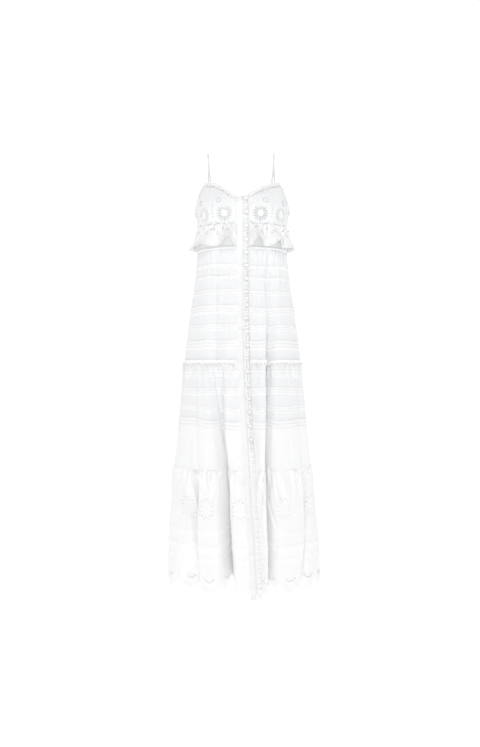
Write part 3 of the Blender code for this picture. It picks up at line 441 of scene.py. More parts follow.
def cotton(name, single, doubled, thread, weave, folds):
    """White cotton that follows the piece's own pattern: weave, slubs and fine crumples, and whiter where it
    lies double or is stitched. It is painted dark grey where the stitched value is above 1, as painted shade
    in the holes, and glows faintly, as painted light."""
    made = bpy.data.materials.new(name)
    made.use_nodes = True
    nodes, links = made.node_tree.nodes, made.node_tree.links
    shader = nodes["Principled BSDF"]
    shader.inputs["Metallic"].default_value = 0.0
    shader.inputs["Specular IOR Level"].default_value = 0.25
    shader.inputs["Sheen Weight"].default_value = 0.08
    shader.inputs["Emission Color"].default_value = (1.0, 1.0, 1.0, 1.0)
    shader.inputs["Emission Strength"].default_value = PAINTED_GLOW
    shader.inputs["Sheen Roughness"].default_value = 0.55
    place = nodes.new("ShaderNodeUVMap")
    place.uv_map = "cloth"

    def noise(scale, detail, roughness):
        """An uneven pattern over the cloth."""
        texture = nodes.new("ShaderNodeTexNoise")
        texture.inputs["Scale"].default_value = scale
        texture.inputs["Detail"].default_value = detail
        texture.inputs["Roughness"].default_value = roughness
        links.new(place.outputs["UV"], texture.inputs["Vector"])
        return texture.outputs["Fac"]

    def threads(direction):
        """The yarns that run one way."""
        texture = nodes.new("ShaderNodeTexWave")
        texture.bands_direction = direction
        texture.inputs["Scale"].default_value = THREADS_A_WAVE / thread
        texture.inputs["Distortion"].default_value = 1.2
        texture.inputs["Detail Scale"].default_value = 0.4
        links.new(place.outputs["UV"], texture.inputs["Vector"])
        return texture.outputs["Fac"]

    def math_node(kind, a, b):
        """A sum on two values, each a number or an output."""
        node = nodes.new("ShaderNodeMath")
        node.operation = kind
        for socket, value in zip(node.inputs, (a, b)):
            if isinstance(value, float):
                socket.default_value = value
            else:
                links.new(value, socket)
        return node.outputs["Value"]

    def attribute(which):
        """A value that the mesh carries."""
        node = nodes.new("ShaderNodeAttribute")
        node.attribute_name = which
        return node.outputs["Fac"]

    def bump(height, distance, strength, after=None):
        """Fine relief, on top of an earlier one if given."""
        node = nodes.new("ShaderNodeBump")
        node.inputs["Distance"].default_value = distance
        node.inputs["Strength"].default_value = strength
        links.new(height, node.inputs["Height"])
        if after is not None:
            links.new(after, node.inputs["Normal"])
        return node.outputs["Normal"]

    def blended(factor, first, second):
        """A colour between two others."""
        node = nodes.new("ShaderNodeMix")
        node.data_type = "RGBA"
        links.new(factor, node.inputs["Factor"])
        for socket, value in ((node.inputs[6], first), (node.inputs[7], second)):
            if isinstance(value, tuple):
                socket.default_value = value + (1.0,)
            else:
                links.new(value, socket)
        return node.outputs[2]

    slubs = noise(SLUB_SCALE, 2.0, 0.6)
    woven = math_node("ADD", math_node("ADD", threads("X"), threads("Y")), slubs)
    creased = noise(CRUMPLE_SCALE, 4.0, 0.58)
    cloudy = noise(CLOUD_SCALE, 2.0, 0.5)
    patchy = math_node("MULTIPLY", math_node("SUBTRACT", cloudy, 0.5), 0.35)
    amount = nodes.new("ShaderNodeClamp")
    links.new(math_node("ADD", attribute("doubled"), patchy), amount.inputs["Value"])
    colour = blended(amount.outputs["Result"], single, doubled)
    stitching = attribute("stitched")
    thread_here = nodes.new("ShaderNodeClamp")
    links.new(stitching, thread_here.inputs["Value"])
    colour = blended(thread_here.outputs["Result"], colour, THREAD_COLOUR)
    # Painted shade: where the stitched value is above 1, the colour turns to the dark grey that stands for
    # the shadow in the holes
    painted_shade_here = nodes.new("ShaderNodeClamp")
    links.new(math_node("SUBTRACT", stitching, 1.0), painted_shade_here.inputs["Value"])
    colour = blended(painted_shade_here.outputs["Result"], colour, PAINTED_HOLE_SHADE)
    links.new(colour, shader.inputs["Base Color"])
    rough = math_node("ADD", math_node("MULTIPLY", slubs, 0.16), 0.80)
    links.new(rough, shader.inputs["Roughness"])
    normal = bump(creased, CRUMPLE_RELIEF, folds)
    normal = bump(woven, WEAVE_RELIEF, weave, normal)
    links.new(normal, shader.inputs["Normal"])
    return made


def sew(name, outer, out, faces, flat, finish, doubled=0.0, stitched=0.0):
    """A piece of cloth with its own thickness, from its outer face, its pattern and its finish."""
    count = len(outer)
    faces = np.asarray(faces)
    ends = np.stack([faces, np.roll(faces, -1, axis=1)], axis=-1).reshape(-1, 2)
    keys, turned = ends[:, 0] * count + ends[:, 1], ends[:, 1] * count + ends[:, 0]
    rim = ends[~np.isin(turned, keys)]
    rim_faces = np.stack([rim[:, 1], rim[:, 0], rim[:, 0] + count, rim[:, 1] + count], axis=1)
    every = faces.tolist() + (faces[:, ::-1] + count).tolist() + rim_faces.tolist()
    mesh = bpy.data.meshes.new(name)
    mesh.from_pydata(np.concatenate([outer, outer - out * CLOTH]).tolist(), [], every)
    corners = np.empty(len(mesh.loops), np.int32)
    mesh.loops.foreach_get("vertex_index", corners)
    pattern = mesh.uv_layers.new(name="cloth")
    pattern.uv.foreach_set("vector", np.asarray(flat, np.float32)[corners % count].ravel())
    # Stitched values above 1 mark painted shade in the holes
    for key, values in (("doubled", doubled), ("stitched", stitched)):
        layer = mesh.attributes.new(key, "FLOAT", "POINT")
        layer.data.foreach_set("value", np.tile(np.broadcast_to(values, count), 2).astype(np.float32))
    mesh.materials.append(finish)
    mesh.shade_smooth()
    mesh.set_sharp_from_angle(angle=math.radians(70))
    made = bpy.data.objects.new(name, mesh)
    bpy.context.scene.collection.objects.link(made)
    return made


def stitch_relief(stitched, edging=0.0):
    """How far the stitching round holes and along an edge stands up."""
    return STITCH_RISE * np.maximum(np.minimum(stitched, 1), edging)


def fit(piece, nodes):
    """The piece moves with the dress and stands in for its solids, which are hidden."""
    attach(piece, "root")
    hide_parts(*nodes)


LAWN_YARN = 0.00055
lawn = cotton("bodice_lawn", (0.832, 0.840, 0.850), (0.930, 0.931, 0.932), LAWN_YARN, 0.35, 0.30)


def motif_holes(u, v, way, shade):
    """A wheel with the flower and the small eyelets that go with it."""
    (aside, above), radius, petals, hole = FLOWER
    holes = wheel(u, v, shade) + flower(u + way * aside, v + above, radius, petals, hole)
    return holes + [eyelet(u + way * a, v + b) for a, b in EYELET_ARCS]


def bodice_relief(length, height, top_line):
    """How far the lawn stands off the form: gathers at the flounce's seam and under the top edge, and
    creases."""
    above_seam = height - FLOUNCE_SEAM
    total = gathers(length, above_seam, BUST_SPAN, 0.0085, 0.0014, 0.024, 11)
    order = np.argsort(top_line[:, 0])
    under_edge = np.interp(length, top_line[order, 0], top_line[order, 1]) - height
    total += gathers(length, under_edge, BUST_SPAN, 0.0075, 0.0048, 0.030, 13)
    total += crumple(length, height, 0.0005, 12) * smooth(above_seam / 0.01)
    for place, lean, size, wide, low, high in BODICE_CREASES:
        away = (length - place - lean * (height - low)) / wide
        fade = smooth((height - low) / 0.015) * smooth((high - height) / 0.02)
        total += size * (np.exp(-(away**2)) - 0.5 * np.exp(-((away - 1.8) ** 2))) * fade
    return total


# Creases: place and lean in the pattern, height of the ridge, half width, and where each starts and ends
BODICE_CREASES = (
    (-0.030, 0.02, -0.0016, 0.0030, -0.240, -0.165),
    (-0.024, -0.05, 0.0010, 0.0040, -0.240, -0.170),
    (-0.118, 0.10, 0.0012, 0.0060, -0.240, -0.130),
    (0.030, 0.20, -0.0012, 0.0040, -0.215, -0.150),
    (0.074, 0.35, 0.0012, 0.0070, -0.236, -0.130),
    (0.118, -0.15, -0.0014, 0.0060, -0.240, -0.120),
    (0.142, 0.10, 0.0012, 0.0050, -0.240, -0.140),
)


def grid_within(low, high, pitch):
    """Points of an even grid between two corners."""
    u = np.arange(low[0] + pitch / 2, high[0], pitch)
    v = np.arange(low[1] + pitch / 2, high[1], pitch)
    return np.stack(np.meshgrid(u, v), axis=-1).reshape(-1, 2)


def apart(points, line, distance):
    """The points that keep a distance from a line of points."""
    kept = np.ones(len(points), bool)
    for spot in line:
        kept &= ((points - spot) ** 2).sum(axis=1) > distance**2
    return points[kept]


def filled(start, end, pitch):
    """Evenly spaced points from start up to, but not including, end."""
    count = max(2, int(round(float(np.hypot(*(np.subtract(end, start)))) / pitch)) + 1)
    return np.linspace(start, end, count)[:-1]


def bodice_piece(name, outline, holes, box_low, box_high, top_line):
    """One panel of the bodice, cut out of the pattern and laid on the form."""
    inner = apart(grid_within(box_low, box_high, BODICE_PITCH), outline, BODICE_PITCH * 0.55)
    flat, triangles, stitched = pattern_piece(outline, holes, inner, 0.0006)
    u, v = flat[:, 0], flat[:, 1]
    out = bodice_out(u, v)
    away = bodice_relief(u, v, top_line) + stitch_relief(stitched)
    piece = sew(name + "_lawn", bodice(u, v) + out * away[:, None], out, triangles, flat, lawn, 0.1, stitched)
    fit(piece, [name])
    return piece


EDGE_LINES = {}
for name, neck, armhole, side in (
    ("bodice_front_right", NECK_RIGHT, ARMHOLE_RIGHT, -1),
    ("bodice_front_left", NECK_LEFT, ARMHOLE_LEFT, 1),
):
    centre = float(length_at(PLACKET_ANGLE)) + side * SEAM_GAP / 2
    side_seam = float(length_at(side * 90)) - side * SEAM_GAP / 2
    bottom = FLOUNCE_SEAM + SEAM_GAP / 2
    neck_line = pattern_edge(neck, 70)
    neck_line[0, 0] = centre
    arm_line = np.concatenate([pattern_edge(armhole, 36), [[side_seam, UNDERARM]]])
    last_stretch = filled(arm_line[-2], arm_line[-1], BODICE_PITCH)[1:]
    arm_line = np.concatenate([arm_line[:-1], last_stretch, arm_line[-1:]])
    EDGE_LINES[name] = (neck_line, arm_line)
    outline = np.concatenate([
        filled((side_seam, bottom), (centre, bottom), BODICE_PITCH),
        filled((centre, bottom), neck_line[0], BODICE_PITCH),
        neck_line[:-1],
        arm_line[:-1],
        filled(arm_line[-1], (side_seam, bottom), BODICE_PITCH),
    ])
    if side > 0:
        outline = outline[::-1]
    holes = []
    for i, shade in enumerate(WHEEL_PAINTED_SHADES[name]):
        holes += motif_holes(side * (WHEEL_FIRST + WHEEL_SPACING * i), WHEEL_HEIGHT, side, shade)
    order = np.argsort(neck_line[:, 0])
    for u in np.arange(NECK_EYELETS[0], abs(neck_line[-1, 0]) - NECK_EYELETS_END, NECK_EYELETS[1]):
        edge = float(np.interp(side * u, neck_line[order, 0], neck_line[order, 1]))
        holes.append(eyelet(side * u, edge - NECK_EYELETS[2], NECK_EYELETS[3]))
    low, high = min(side_seam, centre), max(side_seam, centre)
    piece = bodice_piece(name, outline, holes, (low, bottom), (high, FRONT_TOP), neck_line)
    wide = high - low

low, high = float(length_at(90)) + SEAM_GAP / 2, float(length_at(270)) - SEAM_GAP / 2
across = np.arange(low, high, BODICE_PITCH)
top_line = np.stack([across, back_top(across)], axis=-1)
outline = np.concatenate([
    filled((low, bottom), (high, bottom), BODICE_PITCH),
    filled((high, bottom), (high, UNDERARM), BODICE_PITCH),
    [(high, UNDERARM)],
    top_line[:0:-1],
    filled((low, UNDERARM), (low, bottom), BODICE_PITCH),
])
holes = []
for i in range(5):
    u = (low + high) / 2 + (i - 2) * WHEEL_SPACING
    holes += motif_holes(u, WHEEL_HEIGHT, 1, WHEEL_PAINTED_SHADES["bodice_back"])
piece = bodice_piece("bodice_back", outline, holes, (low, bottom), (high, BACK_TOP), top_line)

# TOP FRILLS
# Narrow ruffles of the same lawn, gathered on a stitched line just below the neck, the armholes and the
# back's top edge, with a small pointed edge. They lie on the bodice and cover its raw edge.
NECK_FRILL = (-0.0030, 0.0095)
ARM_FRILL = (-0.0040, 0.0070)
FRILL_STARTS = {"bodice_front_right": 0.0115, "bodice_front_left": 0.0285}
ARM_FRILL_ENDS = (0.0125, 0.0020)
FRILL_STEP = 0.0009
FRILL_GATHER = 0.0076
FRILL_STAND = 0.0044
FRILL_REST = 0.0012
FRILL_POINT = (0.0042, 0.0011)
FRILL_STITCHING = 0.34
FRILL_ROWS = (1.0, 0.86, 0.70, 0.55, 0.42, FRILL_STITCHING, 0.26, 0.13, 0.0)

trim = cotton("frill_lawn", (0.865, 0.868, 0.871), (0.935,) * 3, LAWN_YARN, 0.35, 0.20)


def part_of(line, skip_start, skip_end):
    """A stretch of a line in the pattern, shortened at each end, with points spread evenly."""
    run = np.concatenate([[0], np.cumsum(np.linalg.norm(np.diff(line, axis=0), axis=1))])
    at = np.arange(skip_start, run[-1] - skip_end, FRILL_STEP)
    return np.stack([np.interp(at, run, line[:, i]) for i in (0, 1)], axis=-1)


def grid_faces(columns, rows):
    """The faces of a grid whose points run along each row, from the lowest row up."""
    a = (np.arange(rows - 1)[:, None] * columns + np.arange(columns - 1)).reshape(-1)
    return np.stack([a, a + 1, a + columns + 1, a + columns], axis=1)


def top_frill(node, line, offsets, seed):
    """A gathered frill along a top edge of the bodice."""
    way = np.gradient(line, axis=0)
    way /= np.linalg.norm(way, axis=1, keepdims=True)
    down = np.stack([way[:, 1], -way[:, 0]], axis=-1)
    if down[:, 1].mean() > 0:
        down = -down
    at = np.arange(len(line)) * FRILL_STEP
    rng = np.random.default_rng(seed)
    drift = 0.9 * np.sin(at * 70 + rng.uniform(0, 6)) + 0.6 * np.sin(at * 173 + rng.uniform(0, 6))
    wave = np.sin(2 * math.pi * at / FRILL_GATHER + drift)
    uneven = 0.75 + 0.25 * np.sin(at * 211 + rng.uniform(0, 6))
    points = np.abs(np.sin(math.pi * at / FRILL_POINT[0]))
    stitch_line = offsets[0] + FRILL_STITCHING * (offsets[1] - offsets[0])
    rows, outs, flats, stitching = [], [], [], []
    for share in FRILL_ROWS:
        offset = offsets[0] + share * (offsets[1] - offsets[0])
        offset = offset - FRILL_POINT[1] * points * (1 if share == 1.0 else -1 if share == 0.0 else 0)
        place = line + down * np.broadcast_to(offset, len(line))[:, None]
        out = bodice_out(place[:, 0], place[:, 1])
        loose = np.clip(np.abs(offset - stitch_line) / (0.5 * (offsets[1] - offsets[0])), 0, 1)
        swell = FRILL_STAND * (0.30 + 0.70 * loose) * (1 + wave * uneven) / 2
        away = FRILL_REST + CLOTH + swell + 0.0003 * (wave < 0) * (1 - loose)
        rows.append(bodice(place[:, 0], place[:, 1]) + out * np.asarray(away)[:, None])
        outs.append(out)
        flats.append(np.stack([at * 1.6, np.broadcast_to(offset, len(line))], axis=-1))
        stitching.append(np.full(len(line), 1.0 if share in (FRILL_STITCHING, 1.0, 0.0) else 0.0))
    rows, outs, flats = np.concatenate(rows), np.concatenate(outs), np.concatenate(flats)
    faces = grid_faces(len(line), len(FRILL_ROWS))
    if way[:, 0].mean() < 0:
        faces = faces[:, ::-1]
    piece = sew(node + "_lawn", rows, outs, faces, flats, trim, 0.2, 0.6 * np.concatenate(stitching))
    fit(piece, [node])


for seed, side in enumerate(("right", "left"), 21):
    neck_line, arm_line = EDGE_LINES["bodice_front_" + side]
    neck_part = part_of(neck_line, FRILL_STARTS["bodice_front_" + side], 0)
    top_frill("neck_frill_" + side, neck_part, NECK_FRILL, seed)
    top_frill("armhole_frill_" + side, part_of(arm_line, *ARM_FRILL_ENDS), ARM_FRILL, seed + 10)
back_line = np.stack([np.arange(low + 0.004, high - 0.004, 0.002)] * 2, axis=-1)
back_line[:, 1] = back_top(back_line[:, 0])
top_frill("back_frill", part_of(back_line, 0, 0), ARM_FRILL, 41)

# STRAPS
# Two thin rouleau straps: a bias strip sewn into a tube and turned, so its seam winds a little. Each runs
# from inside the front's top edge over where the shoulder would be, to inside the back's.
STRAP_FRONT = 0.098
STRAP_TOP = 0.105
STRAP_BACK = 0.110
STRAP_CROWN = ((-0.020, -0.0040), (-0.008, 0.0009), (0.000, 0.0021), (0.008, 0.0007), (0.014, -0.0030))
STRAP_RISE = (0.33, 0.67, 0.92)
STRAP_FALL = (0.12, 0.40, 0.70)
STRAP_DIAMETER = 0.0042
STRAP_TUCK = 0.014
STRAP_INSET = 0.0020 + 0.0009 + STRAP_DIAMETER / 2
STRAP_SIDES = 12
STRAP_RINGS = 150
STRAP_RIDGE = 0.10

# The rouleau is painted greyer than the lawn, as painted shade for the round tube, on the straps and on the
# button loops
rouleau = cotton("strap_rouleau_painted_shade", (0.78,) * 3, (0.86,) * 3, 0.00045, 0.40, 0.15)


def tube(path, radius, sides, lobes=0.0):
    """The rings of a tube along a path of points, with a slight ridge that winds round it."""
    path = np.asarray(path, float)
    way = np.gradient(path, axis=0)
    way /= np.linalg.norm(way, axis=1, keepdims=True)
    side = np.cross(way[0], (0.31, 0.17, 0.93))
    points, outs, flats = [], [], []
    run = np.concatenate([[0], np.cumsum(np.linalg.norm(np.diff(path, axis=0), axis=1))])
    for i, (spot, ahead) in enumerate(zip(path, way)):
        side = side - ahead * (side @ ahead)
        side /= np.linalg.norm(side)
        up = np.cross(ahead, side)
        turns = np.arange(sides) * 2 * math.pi / sides
        aside = np.outer(np.cos(turns), side) + np.outer(np.sin(turns), up)
        ridge = 1 + lobes * np.exp(-(((turns - 40 * run[i]) % (2 * math.pi) - math.pi) ** 2) * 3)
        points.append(spot + aside * radius * ridge[:, None])
        outs.append(aside)
        flats.append(np.stack([turns * radius, np.full(sides, run[i])], axis=-1))
    return np.concatenate(points), np.concatenate(outs), np.concatenate(flats)


def tube_faces(rings, sides):
    """The faces of a tube, with its two ends filled."""
    faces = []
    for r in range(rings - 1):
        for s in range(sides):
            a, b = r * sides + s, r * sides + (s + 1) % sides
            faces.append((a, b, b + sides, a + sides))
    faces.append(tuple(range(sides))[::-1])
    faces.append(tuple((rings - 1) * sides + s for s in range(sides)))
    return faces


def solid_piece(name, points, faces, flats, finish):
    """A closed piece that isn't a sheet, such as a tube or a button."""
    mesh = bpy.data.meshes.new(name)
    mesh.from_pydata(np.asarray(points).tolist(), [], faces)
    corners = np.empty(len(mesh.loops), np.int32)
    mesh.loops.foreach_get("vertex_index", corners)
    pattern = mesh.uv_layers.new(name="cloth")
    pattern.uv.foreach_set("vector", np.asarray(flats, np.float32)[corners].ravel())
    layer = mesh.attributes.new("doubled", "FLOAT", "POINT")
    layer.data.foreach_set("value", np.zeros(len(points), np.float32))
    mesh.materials.append(finish)
    mesh.shade_smooth()
    mesh.set_sharp_from_angle(angle=math.radians(60))
    made = bpy.data.objects.new(name, mesh)
    bpy.context.scene.collection.objects.link(made)
    return made


def inner_point(length, height, away):
    """A point inside the bodice, a distance in from its outer face."""
    at = np.array([length]), np.array([height])
    return bodice(*at)[0] - bodice_out(*at)[0] * away


for name, side in (("right", -1), ("left", 1)):
    neck_line = EDGE_LINES["bodice_front_" + name][0]
    front_length = float(length_at(angle_across(side * STRAP_FRONT, NECK_RIGHT[-1][1])))
    edge = float(np.interp(abs(front_length), np.abs(neck_line[:, 0]), neck_line[:, 1]))
    path = [inner_point(front_length, edge - drop, STRAP_INSET) for drop in (STRAP_TUCK, STRAP_TUCK / 2, 0)]
    crown = [np.array([side * STRAP_TOP, y, z]) for y, z in STRAP_CROWN]
    path += [path[2] + (crown[0] - path[2]) * share for share in STRAP_RISE]
    path += crown[1:-1]
    angle = 180 - math.degrees(math.asin(STRAP_BACK / float(section(BACK_TOP, "half_width"))))
    back_length = float(length_at(angle if side > 0 else 360 - angle))
    back_edge = float(back_top(back_length))
    last = inner_point(back_length, back_edge, STRAP_INSET)
    path += [crown[-1] * (1 - share) + last * share for share in STRAP_FALL]
    drops = (0, STRAP_TUCK / 2, STRAP_TUCK)
    path += [inner_point(back_length, back_edge - drop, STRAP_INSET) for drop in drops]
    fine = curve_through(path, STRAP_RINGS)
    points, outs, flats = tube(fine, STRAP_DIAMETER / 2, STRAP_SIDES, STRAP_RIDGE)
    faces = tube_faces(len(fine), STRAP_SIDES)
    piece = solid_piece("strap_" + name + "_rouleau", points, faces, flats, rouleau)
    fit(piece, ["strap_" + name])

# MIDRIFF
# A plain band of the same lawn behind the flounce, from the seam under the bust to the waist. It is seen
# where the flounce lifts.
WAIST = -0.3145
WAIST_ARCH = 0.003
MIDRIFF_PITCH = 0.0032
MIDRIFF_ROWS = 20

for name, start, end in (
    ("midriff_front_right", -90, PLACKET_ANGLE),
    ("midriff_front_left", PLACKET_ANGLE, 90),
    ("midriff_back", 90, 270),
):
    lengths = np.arange(length_at(start) + SEAM_GAP / 2, length_at(end) - SEAM_GAP / 2, MIDRIFF_PITCH)
    lengths = np.append(lengths[:-1], length_at(end) - SEAM_GAP / 2)
    angles = np.interp(lengths, BUST_LENGTHS, BUST_ANGLES)
    lowest = WAIST + WAIST_ARCH * np.cos(np.radians(angles)) + SEAM_GAP / 2
    shares = np.linspace(0, 1, MIDRIFF_ROWS)
    heights = lowest + (FLOUNCE_SEAM - SEAM_GAP / 2 - lowest) * shares[:, None]
    u = np.broadcast_to(lengths, heights.shape)
    away = gathers(u, heights - lowest, BUST_SPAN, 0.011, 0.0009, 0.045, 51)
    away += crumple(u, heights, 0.0004, 52)
    out = bodice_out(u, heights)
    points = bodice(u, heights) + out * away[..., None]
    flat = np.stack([u, heights], axis=-1).reshape(-1, 2)
    faces = grid_faces(len(lengths), len(shares))
    piece = sew(name + "_lawn", points.reshape(-1, 3), out.reshape(-1, 3), faces, flat, lawn, 0.1)
    fit(piece, [name])
    above = name.replace("midriff", "bodice") + "_lawn"

# FLOUNCE
# A gathered frill of lawn, caught in the seam under the bust and open at the front. It leans out in soft
# waves, with three-hole sprigs near its seam and a pointed, stitched edge.
FLOUNCE_LENGTH = 0.068
FLOUNCE_STAND = 0.0012 + 0.0008 + 0.0020
FLOUNCE_LAP = 0.004
FLOUNCE_DROOP = 0.45
FLOUNCE_PLACES = (-90, -64, -46, -30, -13, -4, 8, 15, 27, 41, 54, 73, 90)
FLOUNCE_LEANS = (6, 20, 26, 3, 44, 5, 5, 46, 3, 43, 5, 22, 10)
FLOUNCE_BACK_PLACES = (90, 108, 124, 141, 157, 173, 190, 207, 223, 239, 254, 270)
FLOUNCE_BACK_LEANS = (22, 8, 34, 9, 32, 7, 35, 9, 31, 10, 33, 11)
FLOUNCE_ENDS = (-6.2, 7.6)
FLOUNCE_PITCH = 0.0024
FLOUNCE_SPAN = (-0.30, 0.75)
FLOUNCE_FULLNESS = 1.35
FLOUNCE_POINT = (0.0062, 0.0014)
FLOUNCE_EDGING = 0.0036
FLOUNCE_REST = 0.0012
SPRIG_SPACING = 0.034
SPRIG = ((-0.0034, 0.0), (0.0034, 0.0), (0.0, 0.0058))
SPRIG_ROWS = ((0.0, -0.016, 0.0017), (SPRIG_SPACING / 2, -0.030, 0.0015))
SPRIG_ENDS = (0.019, 0.012)
# Eyelets along the flounce's edge: height above it, spacing, ends and radius
EDGE_EYELETS = (0.0068, 0.0124, (0.008, 0.006), 0.0010)
# Folds of the flounce: distance across at the top and lower down, where each ends, depth and half width
FLOUNCE_FOLDS = (
    (-0.0868, -0.0690, 0.000, 0.068, 0.0120, 0.0042),
    (-0.0740, -0.0760, 0.000, 0.026, -0.0040, 0.0060),
    (-0.0590, -0.0500, 0.000, 0.048, 0.0062, 0.0032),
    (-0.0480, -0.0450, 0.000, 0.022, -0.0036, 0.0052),
    (-0.0380, -0.0180, 0.000, 0.062, 0.0075, 0.0036),
    (-0.1080, -0.1240, 0.000, 0.060, 0.0042, 0.0042),
    (0.0300, 0.0260, 0.000, 0.050, 0.0062, 0.0032),
    (0.0420, 0.0440, 0.000, 0.024, -0.0036, 0.0052),
    (0.0560, 0.0460, 0.000, 0.058, 0.0075, 0.0036),
    (0.0700, 0.0680, 0.000, 0.024, -0.0040, 0.0056),
    (0.0860, 0.0780, 0.000, 0.062, 0.0080, 0.0040),
    (0.1060, 0.1160, 0.000, 0.060, 0.0045, 0.0042),
)

flounce_lawn = cotton("flounce_lawn", (0.875, 0.878, 0.881), (0.935,) * 3, LAWN_YARN, 0.35, 0.25)


def flounce_folds(u, run):
    """The flounce's sharper folds, which start in its seam: grooves, and puffs between them."""
    total = np.zeros(np.shape(u))
    level = np.full(np.shape(u), FLOUNCE_SEAM)
    for high, low, start, end, depth, wide in FLOUNCE_FOLDS:
        place = length_at(angle_across(high + (low - high) * np.clip(run / end, 0, 1), level))
        away = (u - place) / (wide * (1 + 0.8 * run / FLOUNCE_LENGTH))
        near_front = np.abs(u) < 0.2
        fade = smooth((run - start) / 0.006) * (1 - smooth((run - end + 0.014) / 0.014))
        total += depth * groove(away, 0.4, 1.9) * fade * near_front
    return total


def wave_between(at, places, values):
    """Waves that pass level through each of the given values."""
    places, values = np.array(places, float), np.array(values, float)
    left = np.clip(np.searchsorted(places, at, side="right") - 1, 0, len(places) - 2)
    t = smooth((at - places[left]) / (places[left + 1] - places[left]))
    return values[left] + (values[left + 1] - values[left]) * t


for name, places, leans, start, end in (
    ("flounce_front_right", FLOUNCE_PLACES, FLOUNCE_LEANS, -90, FLOUNCE_ENDS[0]),
    ("flounce_front_left", FLOUNCE_PLACES, FLOUNCE_LEANS, FLOUNCE_ENDS[1], 90),
    ("flounce_back", FLOUNCE_BACK_PLACES, FLOUNCE_BACK_LEANS, 90, 270),
):
    left, right = float(length_at(start)) + SEAM_GAP / 2, float(length_at(end)) - SEAM_GAP / 2
    edge_u = np.linspace(right, left, int((right - left) / 0.0011))
    edge_v = -FLOUNCE_LENGTH + FLOUNCE_POINT[1] * np.abs(np.sin(math.pi * edge_u / FLOUNCE_POINT[0]))
    edge = np.stack([edge_u, edge_v], axis=-1)
    outline = np.concatenate([
        edge[::-1],
        filled((right, -FLOUNCE_LENGTH + 0.002), (right, 0), FLOUNCE_PITCH)[1:],
        filled((right, 0), (left, 0), FLOUNCE_PITCH),
        filled((left, 0), (left, -FLOUNCE_LENGTH + 0.002), FLOUNCE_PITCH),
    ])
    holes = []
    for u in np.arange(left + SPRIG_ENDS[0], right - SPRIG_ENDS[1], SPRIG_SPACING):
        for aside, height, radius in SPRIG_ROWS:
            holes += [eyelet(u + aside + a, height + b, radius) for a, b in SPRIG]
    above, spacing, ends, radius = EDGE_EYELETS
    for u in np.arange(left + ends[0], right - ends[1], spacing):
        holes.append(eyelet(u, -FLOUNCE_LENGTH + above, radius, 6))
    inner = grid_within((left, -FLOUNCE_LENGTH), (right, 0), FLOUNCE_PITCH)
    inner = apart(inner, outline, FLOUNCE_PITCH * 0.55)
    flat, triangles, stitched = pattern_piece(outline, holes, inner, 0.0006)
    u, run = flat[:, 0], -flat[:, 1]
    down = run / FLOUNCE_LENGTH
    edging = smooth((run - FLOUNCE_LENGTH + FLOUNCE_EDGING) / 0.0008)
    lean = np.radians(wave_between(np.interp(u, BUST_LENGTHS, BUST_ANGLES), places, leans))
    away = FLOUNCE_STAND + run * np.sin(lean) * (1 - FLOUNCE_DROOP * (1 - down))
    away += gathers(u, run, FLOUNCE_SPAN, 0.0105, 0.0038, 0.045, 61)
    away += crumple(u, run, 0.0012, 62) * smooth(down * 2)
    away += gathers(u, run, FLOUNCE_SPAN, 0.0230, 0.0040, 0.090, 63) + flounce_folds(u, run)
    away = np.maximum(away, FLOUNCE_REST)
    away += stitch_relief(stitched, 0.8 * edging)
    level = np.full(len(u), FLOUNCE_SEAM)
    out = bodice_out(u, level)
    points = bodice(u, level) + out * away[:, None]
    points[:, 2] = FLOUNCE_SEAM + FLOUNCE_LAP - run * np.cos(lean)
    double, stitched = 0.2 + 0.6 * edging, np.maximum(stitched, edging)
    piece = sew(name + "_lawn", points, out, triangles, flat, flounce_lawn, double, stitched)
    fit(piece, [name])
    above, wide = name.replace("flounce", "bodice") + "_lawn", (right - left) * FLOUNCE_FULLNESS

# SKIRT'S TOP TIER
# Three panels of fine cotton voile from the waist to the first seam, with groups of narrow stitched tucks
# across them. The gathers at the waist are fine on the left front and few on the right.
SEAM_ONE = -0.663
SEAM_TWO = -0.992
HEM_TIP = -1.350
SCALLOP_RISE = 0.026
LEVELS = (WAIST, SEAM_ONE, SEAM_TWO, HEM_TIP)
# Folds in order round from the right side seam: place in degrees and depth at the four levels, belly in the
# last tier, half the mouth, lifts of the two seams and the hem, and scallops from one ridge to the next
FOLDS = (
    ((-62, -55, -41, -36), (0.000, 0.004, 0.016, 0.022), 0.030, 0.010, (0.000, 0.002, 0.004), 3),
    ((-35.5, -28, -14.2, -9.5), (0.000, 0.016, 0.060, 0.105), 0.000, 0.013, (0.000, 0.004, 0.022), 4),
    ((9.5, 7.6, 9.9, 12.1), (0.000, 0.010, 0.011, 0.006), 0.000, 0.009, (0.000, 0.000, 0.000), 0),
    ((34, 25.5, 19.6, 16.8), (0.000, 0.042, 0.074, 0.108), 0.000, 0.011, (-0.008, 0.020, 0.022), 4),
    ((75, 72, 65, 46), (0.000, 0.004, 0.024, 0.085), 0.000, 0.010, (0.000, 0.002, 0.008), 5),
    ((108, 110, 113, 116), (0.000, 0.007, 0.030, 0.072), 0.000, 0.014, (0.000, 0.004, 0.012), 4),
    ((140, 142, 143, 145), (0.000, 0.012, 0.048, 0.090), 0.000, 0.013, (0.000, 0.006, 0.016), 4),
    ((172, 174, 176, 178), (0.000, 0.016, 0.052, 0.096), 0.000, 0.012, (-0.004, 0.008, 0.018), 4),
    ((206, 204, 203, 204), (0.000, 0.011, 0.044, 0.086), 0.000, 0.013, (0.000, 0.006, 0.016), 4),
    ((240, 240, 239, 237), (0.000, 0.007, 0.032, 0.076), 0.000, 0.014, (0.000, 0.004, 0.012), 4),
)
RIGHT_SEAM, PLACKET_RIDGE, LEFT_SEAM = 0, 2, 5
SEAM_RIDGES = {RIGHT_SEAM: (-90,) * 4, PLACKET_RIDGE: (-2.1, -1.3, 2.2, 5.3), LEFT_SEAM: (90,) * 4}
DEEP_FOLD = 0.050
SHALLOW_MOUTH = 0.62
